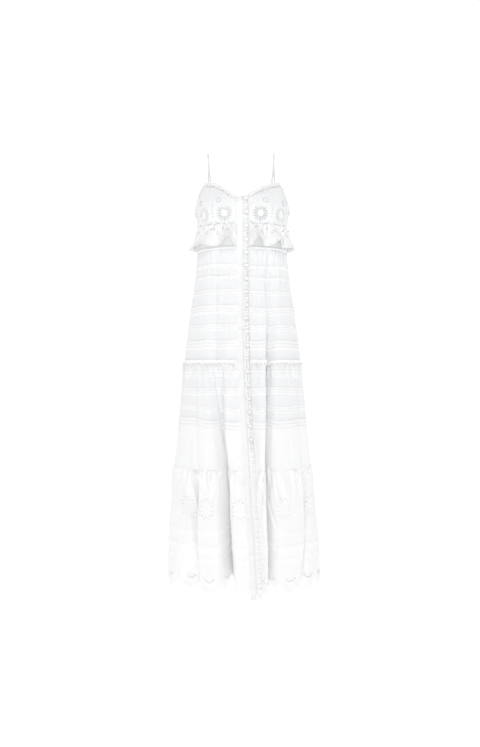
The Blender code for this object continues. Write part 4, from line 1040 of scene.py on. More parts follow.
MOUTH_MOST = 0.70
MOUTH_SHARE = 0.55
WALL_SHARE = 0.60
FACE_START = 0.42
FACE_EASE = 1.25
FLOOR_ROUND = 0.6
GATHERS_PER_FOLD = 3
GATHER_DRIFT = (0.21, 4.1)
GATHER_UNEVEN = (0.25, 7.3)
GATHER_QUIET = 0.35
GATHER_REACH = (0.000, 0.014, 0.050, 0.120)
GATHER_FADE = (0.0, 1.0, 0.6, 0.0)
TIER_GATHER = {"one": 0.0022, "two": 0.0028, "three": 0.0045}
PLACKET_COVER = (0.0088, 0.0200, 0.0070)

# Tucks: how far down its lower edge lies, its width and how far it stands off
TUCKS_ONE = (
    (0.0535, 0.0034, 0.0009), (0.0585, 0.0030, 0.0008), (0.0920, 0.0072, 0.0015),
    (0.1315, 0.0034, 0.0009), (0.1400, 0.0034, 0.0009),
    (0.1825, 0.0062, 0.0013), (0.1925, 0.0062, 0.0013), (0.2020, 0.0060, 0.0013),
    (0.2390, 0.0038, 0.0009), (0.2468, 0.0038, 0.0009), (0.2535, 0.0036, 0.0009),
    (0.2890, 0.0064, 0.0013), (0.2995, 0.0064, 0.0013), (0.3098, 0.0062, 0.0013),
)
# Bottoms of the sharper folds: place in folds, from and to which height, depth and half width
HOLLOWS = {
    "one": ((3.5, -0.330, -0.700, 0.0040, 0.0080), (1.525, -0.400, -0.700, 0.0025, 0.0045)),
    "two": (
        (1.50, -0.655, -0.930, 0.0060, 0.0085), (3.50, -0.640, -1.030, 0.0040, 0.0120),
        (6.50, -0.760, -1.030, 0.0060, 0.0080), (7.50, -0.700, -1.030, 0.0070, 0.0080),
        (8.50, -0.780, -1.030, 0.0060, 0.0080),
    ),
    "three": (
        (0.50, -0.975, -1.200, 0.0190, 0.0080), (4.50, -0.975, -1.330, 0.0090, 0.0080),
        (5.50, -0.985, -1.250, 0.0070, 0.0085), (6.50, -0.975, -1.400, 0.0060, 0.0110),
        (7.50, -0.975, -1.400, 0.0070, 0.0110), (8.50, -0.975, -1.400, 0.0060, 0.0110),
        (9.50, -0.985, -1.250, 0.0080, 0.0085),
    ),
}
# Where the tucks lie lower or higher: middle and spread in folds, from and to how far down, and how far
TUCK_DRIFTS = {
    "one": ((3.1, 1.05, 0.030, 0.170, 0.0070), (3.1, 1.0, 0.180, 0.300, 0.0025)),
    "two": (
        (3.2, 1.0, 0.030, 0.120, -0.0030),
        (0.25, 0.85, 0.135, 0.215, -0.0130),
        (4.4, 0.7, 0.140, 0.215, -0.0060),
    ),
    "three": ((0.4, 0.8, 0.170, 0.280, -0.0040),),
}
DRIFT_ENDS = {"one": 0.345, "two": 0.325, "three": 0.330}
# Creases: place in folds and height at the top, the same at the lower end, depth, and half width of cloth
CREASES_ONE = (
    (1.531, -0.3200, 1.518, -0.4450, 0.0030, 0.0026),
    (1.518, -0.4350, 1.560, -0.5900, 0.0024, 0.0030),
    (1.600, -0.3500, 1.610, -0.5900, -0.0012, 0.0040),
    (1.863, -0.3400, 1.925, -0.6450, 0.0024, 0.0050),
    (0.560, -0.3250, 0.720, -0.3990, 0.0014, 0.0026),
    (1.657, -0.3200, 1.683, -0.3590, 0.0018, 0.0022),
    (1.200, -0.3200, 1.180, -0.3560, 0.0014, 0.0024),
    (3.615, -0.3180, 3.476, -0.4560, 0.0046, 0.0044),
    (2.547, -0.3240, 2.584, -0.4190, 0.0016, 0.0024),
    (2.740, -0.3220, 2.660, -0.3980, 0.0020, 0.0026),
    (3.131, -0.3240, 3.056, -0.4010, 0.0018, 0.0028),
    (3.400, -0.3240, 3.314, -0.4500, 0.0022, 0.0026),
    (3.860, -0.3180, 3.822, -0.4500, -0.0022, 0.0050),
    (4.113, -0.3240, 3.965, -0.4400, 0.0020, 0.0030),
    (2.614, -0.4400, 2.727, -0.5700, 0.0014, 0.0034),
    (3.083, -0.4700, 3.038, -0.6450, 0.0012, 0.0036),
    (4.374, -0.3850, 4.110, -0.5650, 0.0016, 0.0036),
    (4.738, -0.4600, 4.359, -0.6300, 0.0018, 0.0040),
)


def ridge_rows():
    """The place of each ridge at the four levels: midway between its folds, or on a seam."""
    places = [fold[0] for fold in FOLDS]
    rows = []
    for k in range(len(FOLDS) + 1):
        turns, k_round = divmod(k, len(FOLDS))
        if k_round in SEAM_RIDGES:
            rows.append(np.array(SEAM_RIDGES[k_round]) + 360.0 * turns)
        else:
            rows.append((np.array(places[k - 1]) + np.array(places[k])) / 2)
    return np.array(rows)


RIDGES = ridge_rows()
VALLEYS = np.array([fold[0] for fold in FOLDS], float)
DEPTHS = np.array([fold[1] for fold in FOLDS])
BELLIES = np.array([fold[2] for fold in FOLDS])
MOUTHS = np.array([fold[3] for fold in FOLDS])
LIFTS = np.array([fold[4] for fold in FOLDS])
SCALLOPS = np.array([fold[5] for fold in FOLDS])


def at_level(rows, k, height):
    """The value in row k of a table of four levels, at a height."""
    place = np.interp(-height, -np.array(LEVELS), np.arange(4.0))
    low = np.clip(np.floor(place).astype(int), 0, 2)
    return rows[k, low] + (rows[k, low + 1] - rows[k, low]) * (place - low)


def fold_parts(fold):
    """Which fold, which side of it, and how far from its valley, 0, to its ridge, 1."""
    k = np.floor(fold).astype(int)
    side = fold - k - 0.5
    return k % len(FOLDS), k // len(FOLDS), np.where(side < 0, -1, 1), 2 * np.abs(side)


def fold_depth(fold, height, whole=False):
    """How far the skirt goes in at this line, or at the fold's valley if whole."""
    k, _, _, t = fold_parts(fold)
    down = np.clip((SEAM_TWO - height) / (SEAM_TWO - HEM_TIP), 0, 1)
    depth = at_level(DEPTHS, k, height) + BELLIES[k] * np.sin(np.pi * down) ** 2
    return depth if whole else depth * (1 - smooth(t / WALL_SHARE))


def fold_angle(fold, height):
    """The angle of a line down the skirt that is counted in folds from the right side seam."""
    k, turns, side, t = fold_parts(fold)
    valley = at_level(VALLEYS, k, height)
    half = np.where(side < 0, valley - at_level(RIDGES, k, height), at_level(RIDGES, k + 1, height) - valley)
    radius = section(height, "front")
    deep = np.clip(fold_depth(fold, height, True) / DEEP_FOLD, 0, 1)
    mouth = np.minimum(np.degrees(MOUTHS[k] / radius), MOUTH_MOST * half)
    mouth = mouth * deep + SHALLOW_MOUTH * half * (1 - deep)
    face = np.clip((t - FACE_START) / (1 - FACE_START), 0, 1) ** FACE_EASE
    floor_part = mouth * smooth(t / MOUTH_SHARE) ** FLOOR_ROUND
    return valley + 360 * turns + side * (floor_part + (half - mouth) * face)


def skirt(fold, height):
    """A point of the skirt's outer face, from its line round and its height."""
    return form(fold_angle(fold, height), height, fold_depth(fold, height))


def skirt_out(fold, height):
    """The level direction straight out of the skirt."""
    return outwards(skirt, fold, height, 0.004)


def skirt_lengths(lines, height):
    """The length of cloth from the first line to each of the others, at one height."""
    points = skirt(lines, np.full(len(lines), float(height)))
    return np.concatenate([[0], np.cumsum(np.linalg.norm(np.diff(points, axis=0), axis=1))])


def lift(fold, seam):
    """How far the folds draw a seam up: 0 and 1 are the two seams, 2 is the hem."""
    k, _, _, t = fold_parts(fold)
    return LIFTS[k, seam] * (1 - smooth(t / WALL_SHARE))


def waist(fold):
    """The height of the waist seam, which arches up in front."""
    return WAIST + WAIST_ARCH * np.cos(np.radians(fold_angle(fold, WAIST)))


def seam_one(fold):
    """The height of the seam under the top tier."""
    return SEAM_ONE + lift(fold, 0)


def seam_two(fold):
    """The height of the seam under the middle tier."""
    return SEAM_TWO + lift(fold, 1)


def wide_gather(fold, below, tier):
    """The wide gathers under a seam, which fade with the distance below it and stay flat by the placket."""
    wave = np.sin(2 * np.pi * (GATHERS_PER_FOLD * fold + GATHER_DRIFT[0] * np.sin(GATHER_DRIFT[1] * fold)))
    uneven = 1 - GATHER_UNEVEN[0] * (1 - np.sin(GATHER_UNEVEN[1] * fold + 1))
    half_way = len(FOLDS) / 2
    aside = np.abs((fold - PLACKET_RIDGE + half_way) % len(FOLDS) - half_way)
    quiet = smooth(aside / GATHER_QUIET - 1)
    return TIER_GATHER[tier] * wave * uneven * quiet * np.interp(below, GATHER_REACH, GATHER_FADE)


# The cloth's own coordinate round each tier: its length at the tier's middle, from the right side seam
FINE_LINES = np.arange(0, len(FOLDS) + 0.0025, 0.005)
ROUND = {
    "one": skirt_lengths(FINE_LINES, (WAIST + SEAM_ONE) / 2),
    "two": skirt_lengths(FINE_LINES, (SEAM_ONE + SEAM_TWO) / 2),
    "three": skirt_lengths(FINE_LINES, -1.175),
}


def round_at(tier, fold):
    """The length of cloth round a tier, up to a line."""
    return np.interp(fold, FINE_LINES, ROUND[tier])


def placket_side(points, height):
    """How clear of the placket a point lies: 0 where it covers the front, 1 beside it and at the back."""
    centre = at_level(RIDGES, np.full(np.shape(height), PLACKET_RIDGE), height)
    aside = points[..., 0] - form(centre, height)[..., 0] - PLACKET_COVER[0]
    front = points[..., 1] < -0.05
    return np.where(front, smooth((np.abs(aside) - PLACKET_COVER[1]) / PLACKET_COVER[2]), 1.0)


def creases(tier, table, fold, height):
    """The creases of one tier, each a groove with a low rise on both sides."""
    total = np.zeros(np.shape(fold))
    u = round_at(tier, fold)
    for fold_high, high, fold_low, low, depth, wide in table:
        share = np.clip((high - height) / (high - low), 0, 1)
        away = (u - round_at(tier, fold_high + (fold_low - fold_high) * share)) / wide
        fade = smooth((high + 0.008 - height) / 0.012) * smooth((height - low + 0.012) / (0.4 * (high - low)))
        total += depth * groove(away, 0.45, 1.9) * fade
    return total


def hollow(tier, fold, height):
    """How far the cloth at the bottom of a fold lies behind the fold's own sharp edges."""
    total = np.zeros(np.shape(fold))
    u = round_at(tier, fold)
    for place, high, low, depth, half in HOLLOWS[tier]:
        away = np.abs(u - round_at(tier, place))
        fade = smooth((high - height) / 0.025) * smooth((height - low) / 0.040)
        total += depth * fade * (1 - smooth((away - half + 0.0015) / 0.0030))
    return total


def tuck_drift(tier, fold, down):
    """How far a tuck lies below its even place: a little unevenness, and lower or higher on some folds."""
    half_way = len(FOLDS) / 2
    fold = (fold + half_way) % len(FOLDS) - half_way
    even = 0.0011 * np.sin(4.4 * np.pi * fold / 5 + 0.9)
    even = even + 0.0007 * np.sin(11.2 * np.pi * fold / 5 + 31 * down)
    inside_tier = smooth(down / 0.05) * smooth((DRIFT_ENDS[tier] - down) / 0.03)
    for centre, spread, high, low, size in TUCK_DRIFTS[tier]:
        round_it = np.exp(-(((fold - centre) / spread) ** 2))
        even = even + size * round_it * smooth((down - high) / 0.03 + 1) * (1 - smooth((down - low) / 0.05))
    return even * inside_tier


def tuck_stand(down, tucks):
    """How far the tucks lift the cloth, and where it lies double."""
    stand, double = np.zeros(np.shape(down)), np.zeros(np.shape(down))
    for edge, wide, height in tucks:
        share = (down - (edge - wide)) / wide
        on = (share > -0.02) & (share < 1.001)
        stand = np.where(on, np.maximum(stand, height * (0.45 + 0.55 * np.clip(share, 0, 1))), stand)
        double = np.where(on, 1.0, double)
    return stand, double


def tuck_rows(length, pitch, tucks):
    """Rows down a tier: even ones, and four at each tuck."""
    special = []
    for edge, wide, _ in tucks:
        special += [edge - wide - 0.0004, edge - wide, edge, edge + 0.0003]
    special = np.array(special)
    even = np.linspace(0, length, int(length / pitch) + 1)
    if len(special):
        even = even[np.abs(even[:, None] - special).min(axis=1) > pitch * 0.35]
    return np.unique(np.concatenate([even, special, [0, length]]))


# The lower part of the middle tier and the whole of the last tier take the whiter colour of doubled cloth
LOWER_WHITE = {"one": 0.0, "two": 0.60, "three": 0.72}
LOWER_FROM = {"one": 0.3, "two": 0.18}
GATHER_LEANS = {"one": 0.07, "two": 0.10, "three": 0.16}
RELIEF_MOST = 0.0080
COVERED_RELIEF = 0.15
SEAM_LAP = 0.0010
TOP_RISE = 0.0009
voile = cotton("skirt_voile", (0.842, 0.849, 0.861), (0.940,) * 3, 0.0006, 0.35, 0.30)


def tier_relief(tier, fold, height, below, table, fine, seed, covered):
    """How far a tier's cloth stands off its wide form: fine gathers, creases and soft unevenness. It lies
    flatter where the placket covers it."""
    u = round_at(tier, fold)
    span = (-0.02, ROUND[tier][-1] + 0.02)
    total = wide_gather(fold, below, tier)
    for number, (spacing, size, reach) in enumerate(fine):
        total += gathers(u, below, span, spacing, size, reach, seed + number, 0.30, GATHER_LEANS[tier])
    total *= 1 - 0.8 * smooth(fold_depth(fold, height) / 0.040)
    total += crumple(u, height, 0.0009, seed + 9) * smooth(below / 0.03)
    total = RELIEF_MOST * np.tanh((total + creases(tier, table, fold, height)) / RELIEF_MOST)
    total -= hollow(tier, fold, height)
    return total * (COVERED_RELIEF + (1 - COVERED_RELIEF) * covered)


def tier_piece(node, tier, start, end, top, bottom, tucks, table, fine, pitches, seed):
    """One panel of a tucked tier, as a fine grid from its lower seam up."""
    round_first, round_last = round_at(tier, np.array([start, end], float))
    marks = np.linspace(round_first, round_last, int((round_last - round_first) / pitches[0]) + 1)
    lines = np.interp(marks, ROUND[tier], FINE_LINES)
    lines[0], lines[-1] = start + 0.0006, end - 0.0006
    level = ("one", "two").index(tier)
    tall = abs(LEVELS[level + 1] - LEVELS[level])
    down = tuck_rows(tall, pitches[1], tucks)[::-1]
    upper, lower = top(lines) + SEAM_LAP, bottom(lines) + SEAM_GAP / 2
    below = np.broadcast_to(down[:, None], (len(down), len(lines)))
    drifted = below + tuck_drift(tier, lines, below)
    heights = upper + (lower - upper) * drifted / tall
    fold = np.broadcast_to(lines, heights.shape)
    stand, double = tuck_stand(below, tucks)
    stand = stand * (0.85 + 0.25 * np.sin(fold * 9.7 + below * 60) * np.sin(fold * 23.1 - below * 35))
    base = skirt(fold, heights)
    covered = placket_side(base, heights)
    out = skirt_out(fold, heights)
    away = tier_relief(tier, fold, heights, below, table, fine, seed, covered) + stand * covered
    away += TOP_RISE * smooth((0.004 - below) / 0.002)
    points = (base + out * away[..., None]).reshape(-1, 3)
    flat = np.stack([round_at(tier, fold), -below], axis=-1).reshape(-1, 2)
    faces = grid_faces(len(lines), len(down))
    double = np.maximum(double, LOWER_WHITE[tier] * smooth((below - LOWER_FROM[tier]) / 0.04))
    piece = sew(node + "_voile", points, out.reshape(-1, 3), faces, flat, voile, double.reshape(-1))
    fit(piece, [node])
    return piece, round_last - round_first


PANELS = (
    ("front_right", RIGHT_SEAM, PLACKET_RIDGE),
    ("front_left", PLACKET_RIDGE, LEFT_SEAM),
    ("back", LEFT_SEAM, len(FOLDS)),
)
# Fine gathers, in two sizes: spacing, depth and reach
GATHERS_ONE = ((0.0090, 0.0028, 0.036), (0.0200, 0.0036, 0.110))
TIER_ONE_PITCHES = (0.0028, 0.0060)
for name, start, end in PANELS:
    piece, wide = tier_piece(
        "tier_one_" + name, "one", start, end, waist, seam_one, TUCKS_ONE, CREASES_ONE, GATHERS_ONE,
        TIER_ONE_PITCHES, 70,
    )
    above = "midriff_" + name + "_lawn"

# WAIST PIPING
# A cord covered in the same cotton, sewn into the seam between the midriff and the skirt, with the
# gathers puckering it.
PIPING_HEIGHT = 0.0070
PIPING_STAND = 0.0018
PIPING_REST = 0.0024 + 0.0009
PIPING_PITCH = 0.0018
PIPING_CUT = (0.0100, 0.0085)
TRIM_CLEAR = 0.0015
BAND_HALF_WIDTH = 0.0095
FRILL_END = 0.0270


def placket_angle(across, height):
    """The angle of a line beside the placket, a distance across from its middle."""
    centre = at_level(RIDGES, np.full(np.shape(height), PLACKET_RIDGE), height)
    return angle_across(form(centre, height)[..., 0] + across, height)


def fold_at(angle, height):
    """The line down the skirt that passes an angle at a height."""
    lines = np.arange(-1, len(FOLDS) + 1, 0.01)
    return float(np.interp(angle, fold_angle(lines, np.full(len(lines), float(height))), lines))


def trim_lines(start, end, height, tier, pitch):
    """The lines of a seam trim, which stops at the placket's band or at its frill."""
    first, last = float(start), float(end)
    if end == PLACKET_RIDGE:
        last = fold_at(float(placket_angle(-BAND_HALF_WIDTH - TRIM_CLEAR, height)), height)
    if start == PLACKET_RIDGE:
        first = fold_at(float(placket_angle(FRILL_END + TRIM_CLEAR, height)), height)
    low, high = round_at(tier, np.array([first + 0.0006, last - 0.0006]))
    return np.interp(np.linspace(low, high, int((high - low) / pitch) + 1), ROUND[tier], FINE_LINES)


for name, start, end in PANELS:
    lines = trim_lines(start, end, WAIST, "one", PIPING_PITCH)
    ups = np.linspace(-0.5, 0.5, 9)
    heights = waist(lines) + ups[:, None] * PIPING_HEIGHT
    fold = np.broadcast_to(lines, heights.shape)
    u = round_at("one", fold)
    out = skirt_out(fold, heights)
    round_top = np.sqrt(np.clip(1 - (2.0 * ups[:, None]) ** 2, 0, 1))
    pucker = gathers(u, np.zeros(u.shape), (-0.02, 1.0), 0.0052, 0.0006, 0.05, 81, 1.0)
    away = PIPING_REST + PIPING_STAND * (0.2 + 0.8 * round_top) + pucker * (0.4 + 0.6 * round_top)
    away = away + np.maximum(wide_gather(fold, np.full(fold.shape, PIPING_HEIGHT / 2), "one"), 0)
    points = (skirt(fold, heights) + out * away[..., None]).reshape(-1, 3)
    flat = np.stack([u, heights], axis=-1).reshape(-1, 2)
    faces = grid_faces(len(lines), len(ups))
    piece = sew("waist_piping_" + name + "_cord", points, out.reshape(-1, 3), faces, flat, trim, 1.0)
    fit(piece, ["waist_piping_" + name])
    wide = float(skirt_lengths(lines, WAIST)[-1])
    below, area = "tier_one_" + name + "_voile", wide * PIPING_CUT[1]

# SKIRT'S MIDDLE TIER
# Three wider panels of the same voile, gathered into the first seam, with two groups of fine tucks and two
# of wider ones, and soft upright folds below them.
TUCKS_TWO = (
    (0.0330, 0.0036, 0.0009), (0.0420, 0.0036, 0.0009), (0.0480, 0.0034, 0.0009),
    (0.0855, 0.0050, 0.0012), (0.0940, 0.0050, 0.0012), (0.1020, 0.0052, 0.0012),
    (0.1450, 0.0036, 0.0009), (0.1520, 0.0036, 0.0009), (0.1585, 0.0036, 0.0009),
    (0.1885, 0.0062, 0.0013), (0.1990, 0.0062, 0.0013), (0.2095, 0.0062, 0.0013),
)
CREASES_TWO = (
    (0.724, -0.6690, 0.661, -0.7520, 0.0026, 0.0024),
    (1.921, -0.6690, 1.906, -0.7720, 0.0026, 0.0040),
    (0.395, -0.6690, 0.425, -0.7200, 0.0018, 0.0024),
    (1.676, -0.6690, 1.749, -0.7660, 0.0026, 0.0030),
    (2.584, -0.6740, 2.565, -0.7200, 0.0018, 0.0028),
    (3.930, -0.6740, 3.959, -0.7340, 0.0022, 0.0028),
    (4.229, -0.6740, 4.240, -0.7500, 0.0024, 0.0030),
    (0.420, -0.8880, 0.406, -0.9850, 0.0022, 0.0060),
    (0.820, -0.8860, 0.787, -0.9880, 0.0020, 0.0050),
    (3.970, -0.8980, 3.977, -0.9860, 0.0020, 0.0050),
    (1.955, -0.8960, 1.949, -0.9620, 0.0014, 0.0050),
)
GATHERS_TWO = ((0.0100, 0.0040, 0.036), (0.0240, 0.0056, 0.110))
TIER_TWO_PITCHES = (0.0030, 0.0062)
for name, start, end in PANELS:
    piece, wide = tier_piece(
        "tier_two_" + name, "two", start, end, seam_one, seam_two, TUCKS_TWO, CREASES_TWO, GATHERS_TWO,
        TIER_TWO_PITCHES, 90,
    )
    above = "tier_one_" + name + "_voile"

# SEAM HEADING
# A narrow strip of lawn laid over the first skirt seam, with a scalloped lower edge, an eyelet in each
# scallop, and a little gathering of its own.
HEADING_HEIGHT = 0.0150
HEADING_STAND = 0.0018 + 0.0013
HEADING_SCALLOP = 0.0078
HEADING_DIP = 0.0016
HEADING_PITCHES = (0.0013, 0.0018)
HEADING_EYELET = (-0.0038, 0.0014)

for name, start, end in PANELS:
    lines = trim_lines(start, end, SEAM_ONE, "two", HEADING_PITCHES[0])
    marks = round_at("two", lines)
    low_edge = -HEADING_HEIGHT / 2 + HEADING_DIP * (1 - np.abs(np.sin(math.pi * marks / HEADING_SCALLOP)))
    outline = np.concatenate([
        np.stack([marks, low_edge], axis=-1),
        [(marks[-1], share * HEADING_HEIGHT) for share in (-0.25, 0.0, 0.25)],
        [(u, HEADING_HEIGHT / 2) for u in marks[::-2]],
        [(marks[0], share * HEADING_HEIGHT) for share in (0.25, 0.0, -0.25)],
    ])
    first = (math.floor(marks[0] / HEADING_SCALLOP) + 1.5) * HEADING_SCALLOP
    holes = [eyelet(u, *HEADING_EYELET, 6) for u in np.arange(first, marks[-1] - 0.004, HEADING_SCALLOP)]
    inner = grid_within((marks[0], -HEADING_HEIGHT / 2), (marks[-1], HEADING_HEIGHT / 2), HEADING_PITCHES[1])
    inner = apart(inner, outline, 0.0010)
    flat, triangles, stitched = pattern_piece(outline, holes, inner, 0.0004)
    fold = np.interp(flat[:, 0], ROUND["two"], FINE_LINES)
    heights = seam_one(fold) + flat[:, 1]
    out = skirt_out(fold, heights)
    ruffle = gathers(flat[:, 0], np.zeros(len(flat)), (-0.02, 1.6), 0.0072, 0.0026, 0.05, 95, 1.0)
    loose = 0.35 + 0.65 * np.abs(flat[:, 1]) / (HEADING_HEIGHT / 2)
    wide_ones = wide_gather(fold, np.full(len(fold), HEADING_HEIGHT / 2), "two")
    away = HEADING_STAND + ruffle * loose + np.maximum(wide_ones, 0)
    edging = smooth((-flat[:, 1] - HEADING_HEIGHT / 2 + 0.0026) / 0.0006)
    away = away + stitch_relief(stitched, edging)
    points = skirt(fold, heights) + out * away[:, None]
    stitched = np.maximum(stitched, edging)
    piece = sew("seam_heading_" + name + "_strip", points, out, triangles, flat, trim, 0.9, stitched)
    fit(piece, ["seam_heading_" + name])
    wide = float(skirt_lengths(lines, SEAM_ONE)[-1])
    below = "tier_two_" + name + "_voile"

# SKIRT'S LAST TIER
# Three full panels of voile, closely gathered into the second seam. Ovals of slits, three tucks, an arc of
# five eyelets in each scallop and the scalloped, stitched edge follow each other down to the hem.
OVAL_HEIGHT = -1.102
OVAL_PLACES = (-48, -26.5, -2, 29.5, 67, 98, 129, 160, 191, 221, 252)
OVAL_SLITS = 10
OVAL_RADII = (0.019, 0.025)
OVAL_SLIT = (0.0024, 0.0070)
OVAL_TAPER = 0.5
# Small eyelets between the slits: half width and half height of their ring, and radius
OVAL_DOTS = (0.0245, 0.0305, 0.0010)
HEM_PITCHES = (0.0030, 0.0052)
HEM_EYELETS = ((-0.0130, 0.0405), (-0.0072, 0.0345), (0.0, 0.0325), (0.0072, 0.0345), (0.0130, 0.0405))
HEM_EYELET_RADIUS = 0.0020
# Small points along the hem: length and height
HEM_POINT = (0.0044, 0.0010)
HEM_STEP = 0.0013
HEM_EDGING = 0.0042
TUFT_HEIGHT = 0.0075
TUFT_SPACING = 0.0150
THREE_TOP_RISE = 0.0012
TUCKS_THREE = ((0.1850, 0.0064, 0.0013), (0.2300, 0.0110, 0.0016), (0.2610, 0.0050, 0.0011))
CREASES_THREE = (
    (1.009, -0.9930, 1.082, -1.0420, 0.0046, 0.0034),
    (1.835, -0.9930, 1.791, -1.0900, 0.0040, 0.0036),
    (1.962, -0.9930, 1.950, -1.0520, 0.0030, 0.0028),
    (2.527, -0.9930, 2.740, -1.0620, 0.0044, 0.0040),
    (3.858, -0.9950, 3.812, -1.0560, 0.0046, 0.0036),
    (3.980, -0.9930, 3.986, -1.0800, 0.0042, 0.0034),
    (4.426, -0.9930, 4.257, -1.0700, 0.0050, 0.0040),
    (3.678, -1.0850, 3.784, -1.1750, 0.0040, 0.0050),
    (2.339, -0.9930, 2.390, -1.0900, 0.0026, 0.0040),
    (0.377, -0.9960, 0.318, -1.0550, 0.0036, 0.0034),
    (0.787, -0.9960, 0.792, -1.0550, 0.0040, 0.0034),
    (1.248, -0.9930, 1.210, -1.0460, 0.0034, 0.0034),
    (4.864, -1.0100, 4.800, -1.0950, 0.0034, 0.0036),
    (0.239, -0.9930, 0.188, -1.0600, 0.0034, 0.0034),
    (4.093, -0.9950, 4.080, -1.0460, 0.0034, 0.0030),
)
GATHERS_THREE = ((0.0150, 0.0082, 0.060), (0.0300, 0.0100, 0.130))


def uneven_top(fold):
    """How far the last tier's gathered top edge stands above its seam, tuft by tuft."""
    u = round_at("three", fold)
    tufts = np.abs(np.sin(math.pi * u / TUFT_SPACING + 1.7 * np.sin(u * 41) + 0.9 * np.sin(u * 113)))
    tall = 0.5 + 0.5 * np.sin(u * 67 + 1.3 * np.sin(u * 19))
    return TUFT_HEIGHT * (1 - tufts) * tall


SHARES = np.linspace(0, 1, 101)
HEM_LENGTHS = [skirt_lengths(k + SHARES, HEM_TIP) for k in range(len(FOLDS))]


def hem_share(fold):
    """The place within its fold, by length of cloth along the hem."""
    k, _, _, _ = fold_parts(fold)
    part = fold - np.floor(fold)
    found = np.zeros(np.shape(fold))
    for one, lengths in enumerate(HEM_LENGTHS):
        found = np.where(k == one, np.interp(part, SHARES, lengths / lengths[-1]), found)
    return found


def hem(fold):
    """The scalloped hem: a tip on each ridge, and more round the folds between."""
    k, _, _, _ = fold_parts(fold)
    wave = np.abs(np.cos(np.pi * hem_share(fold) * SCALLOPS[k]))
    return HEM_TIP + SCALLOP_RISE * (1 - wave) + lift(fold, 2)


def scallop_tips(start, end):
    """The lines down the skirt that end on a scallop's tip."""
    tips = []
    for k in range(start, end):
        shares = HEM_LENGTHS[k] / HEM_LENGTHS[k][-1]
        count = SCALLOPS[k]
        tips += [k + float(np.interp(i / count, shares, SHARES)) for i in range(count + 1)] if count else []
    return sorted(set(np.round(tips, 4)))


for name, start, end in PANELS:
    fine_lines = np.arange(start, end + 0.001, 0.005)
    laid = skirt_lengths(fine_lines, OVAL_HEIGHT)
    hem_marks = np.arange(0, laid[-1], HEM_STEP)
    hem_fold = np.append(np.interp(hem_marks, laid, fine_lines), float(end))
    hem_run = skirt_lengths(hem_fold, HEM_TIP)
    hem_edge = hem(hem_fold) + HEM_POINT[1] * np.abs(np.sin(math.pi * hem_run / HEM_POINT[0]))
    hem_laid = np.interp(hem_fold, fine_lines, laid)
    marks = np.linspace(0, laid[-1], int(laid[-1] / HEM_PITCHES[0]) + 1)
    lines = np.interp(marks, laid, fine_lines)
    upper = seam_two(lines) + SEAM_LAP + uneven_top(lines)
    base_hem = HEM_TIP + lift(lines, 2)
    tall = SEAM_TWO - HEM_TIP
    down = tuck_rows(tall, HEM_PITCHES[1], TUCKS_THREE)
    drifted = down[:, None] + tuck_drift("three", lines, down[:, None])
    levels = upper + (base_hem - upper) * drifted / tall
    left_side = [(0.0, h) for h in levels[1:, 0] if h > hem_edge[0] + 0.002]
    right_side = [(laid[-1], h) for h in levels[1:, -1] if h > hem_edge[-1] + 0.002]
    outline = np.concatenate([
        np.stack([hem_laid, hem_edge], axis=-1),
        right_side[::-1],
        np.stack([marks, upper], axis=-1)[::-1],
        left_side,
    ])
    outline[:, 0] = np.clip(outline[:, 0], SEAM_GAP / 2, laid[-1] - SEAM_GAP / 2)
    keep = levels[1:, 1:-1] > hem(lines)[1:-1] + 0.0030
    inner = np.stack([np.broadcast_to(marks[1:-1], keep.shape)[keep], levels[1:, 1:-1][keep]], axis=-1)
    holes = []
    for place in OVAL_PLACES:
        line = fold_at(place, OVAL_HEIGHT)
        if not start < line < end:
            continue
        centre = float(np.interp(line, fine_lines, laid))
        for turn in (np.arange(OVAL_SLITS) + 0.5) * 2 * math.pi / OVAL_SLITS:
            spot = (centre + OVAL_RADII[0] * math.cos(turn), OVAL_HEIGHT + OVAL_RADII[1] * math.sin(turn))
            way = (math.cos(turn) / OVAL_RADII[0], math.sin(turn) / OVAL_RADII[1])
            holes.append(stitched_hole(spot, way, OVAL_SLIT[1] / 2, OVAL_SLIT[0] / SLIT_MIDDLE, OVAL_TAPER))
            between = turn + math.pi / OVAL_SLITS
            spot = (centre + OVAL_DOTS[0] * math.cos(between), OVAL_HEIGHT + OVAL_DOTS[1] * math.sin(between))
            holes.append(eyelet(*spot, OVAL_DOTS[2], 6))
    for tip in scallop_tips(start, end):
        if not start < tip < end:
            continue
        at_tip = float(np.interp(tip, fine_lines, laid))
        near_tip = (tip - 0.02, tip + 0.02)
        along_hem = float(np.diff(np.interp(near_tip, hem_fold, hem_run))[0])
        tight = float(np.diff(np.interp(near_tip, fine_lines, laid))[0]) / max(along_hem, 1e-6)
        base = float(HEM_TIP + lift(np.array([tip]), 2)[0])
        holes += [eyelet(at_tip + a * tight, base + b, HEM_EYELET_RADIUS, 10) for a, b in HEM_EYELETS]
    flat, triangles, stitched = pattern_piece(outline, holes, inner, 0.0010)
    fold = np.interp(flat[:, 0], laid, fine_lines)
    heights = flat[:, 1]
    top = seam_two(fold)
    below = (top - heights) * tall / (top - HEM_TIP - lift(fold, 2))
    even = below
    for _ in range(5):
        even = below - tuck_drift("three", fold, even)
    stand, double = tuck_stand(even, TUCKS_THREE)
    edging = smooth((hem(fold) + HEM_EDGING - heights) / 0.0010)
    base = skirt(fold, heights)
    covered = placket_side(base, heights)
    out = skirt_out(fold, heights)
    away = tier_relief("three", fold, heights, top - heights, CREASES_THREE, GATHERS_THREE, 100, covered)
    away += stand * covered + stitch_relief(stitched, edging)
    away += THREE_TOP_RISE * smooth((0.004 - below) / 0.002)
    pattern = np.stack([round_at("three", fold), heights], axis=-1)
    piece = sew(
        "tier_three_" + name + "_voile", base + out * away[:, None], out, triangles, pattern, voile,
        np.maximum(double, np.maximum(LOWER_WHITE["three"], edging)), np.maximum(stitched, 0.7 * edging),
    )
    fit(piece, ["tier_three_" + name])
    above = "tier_two_" + name + "_voile"

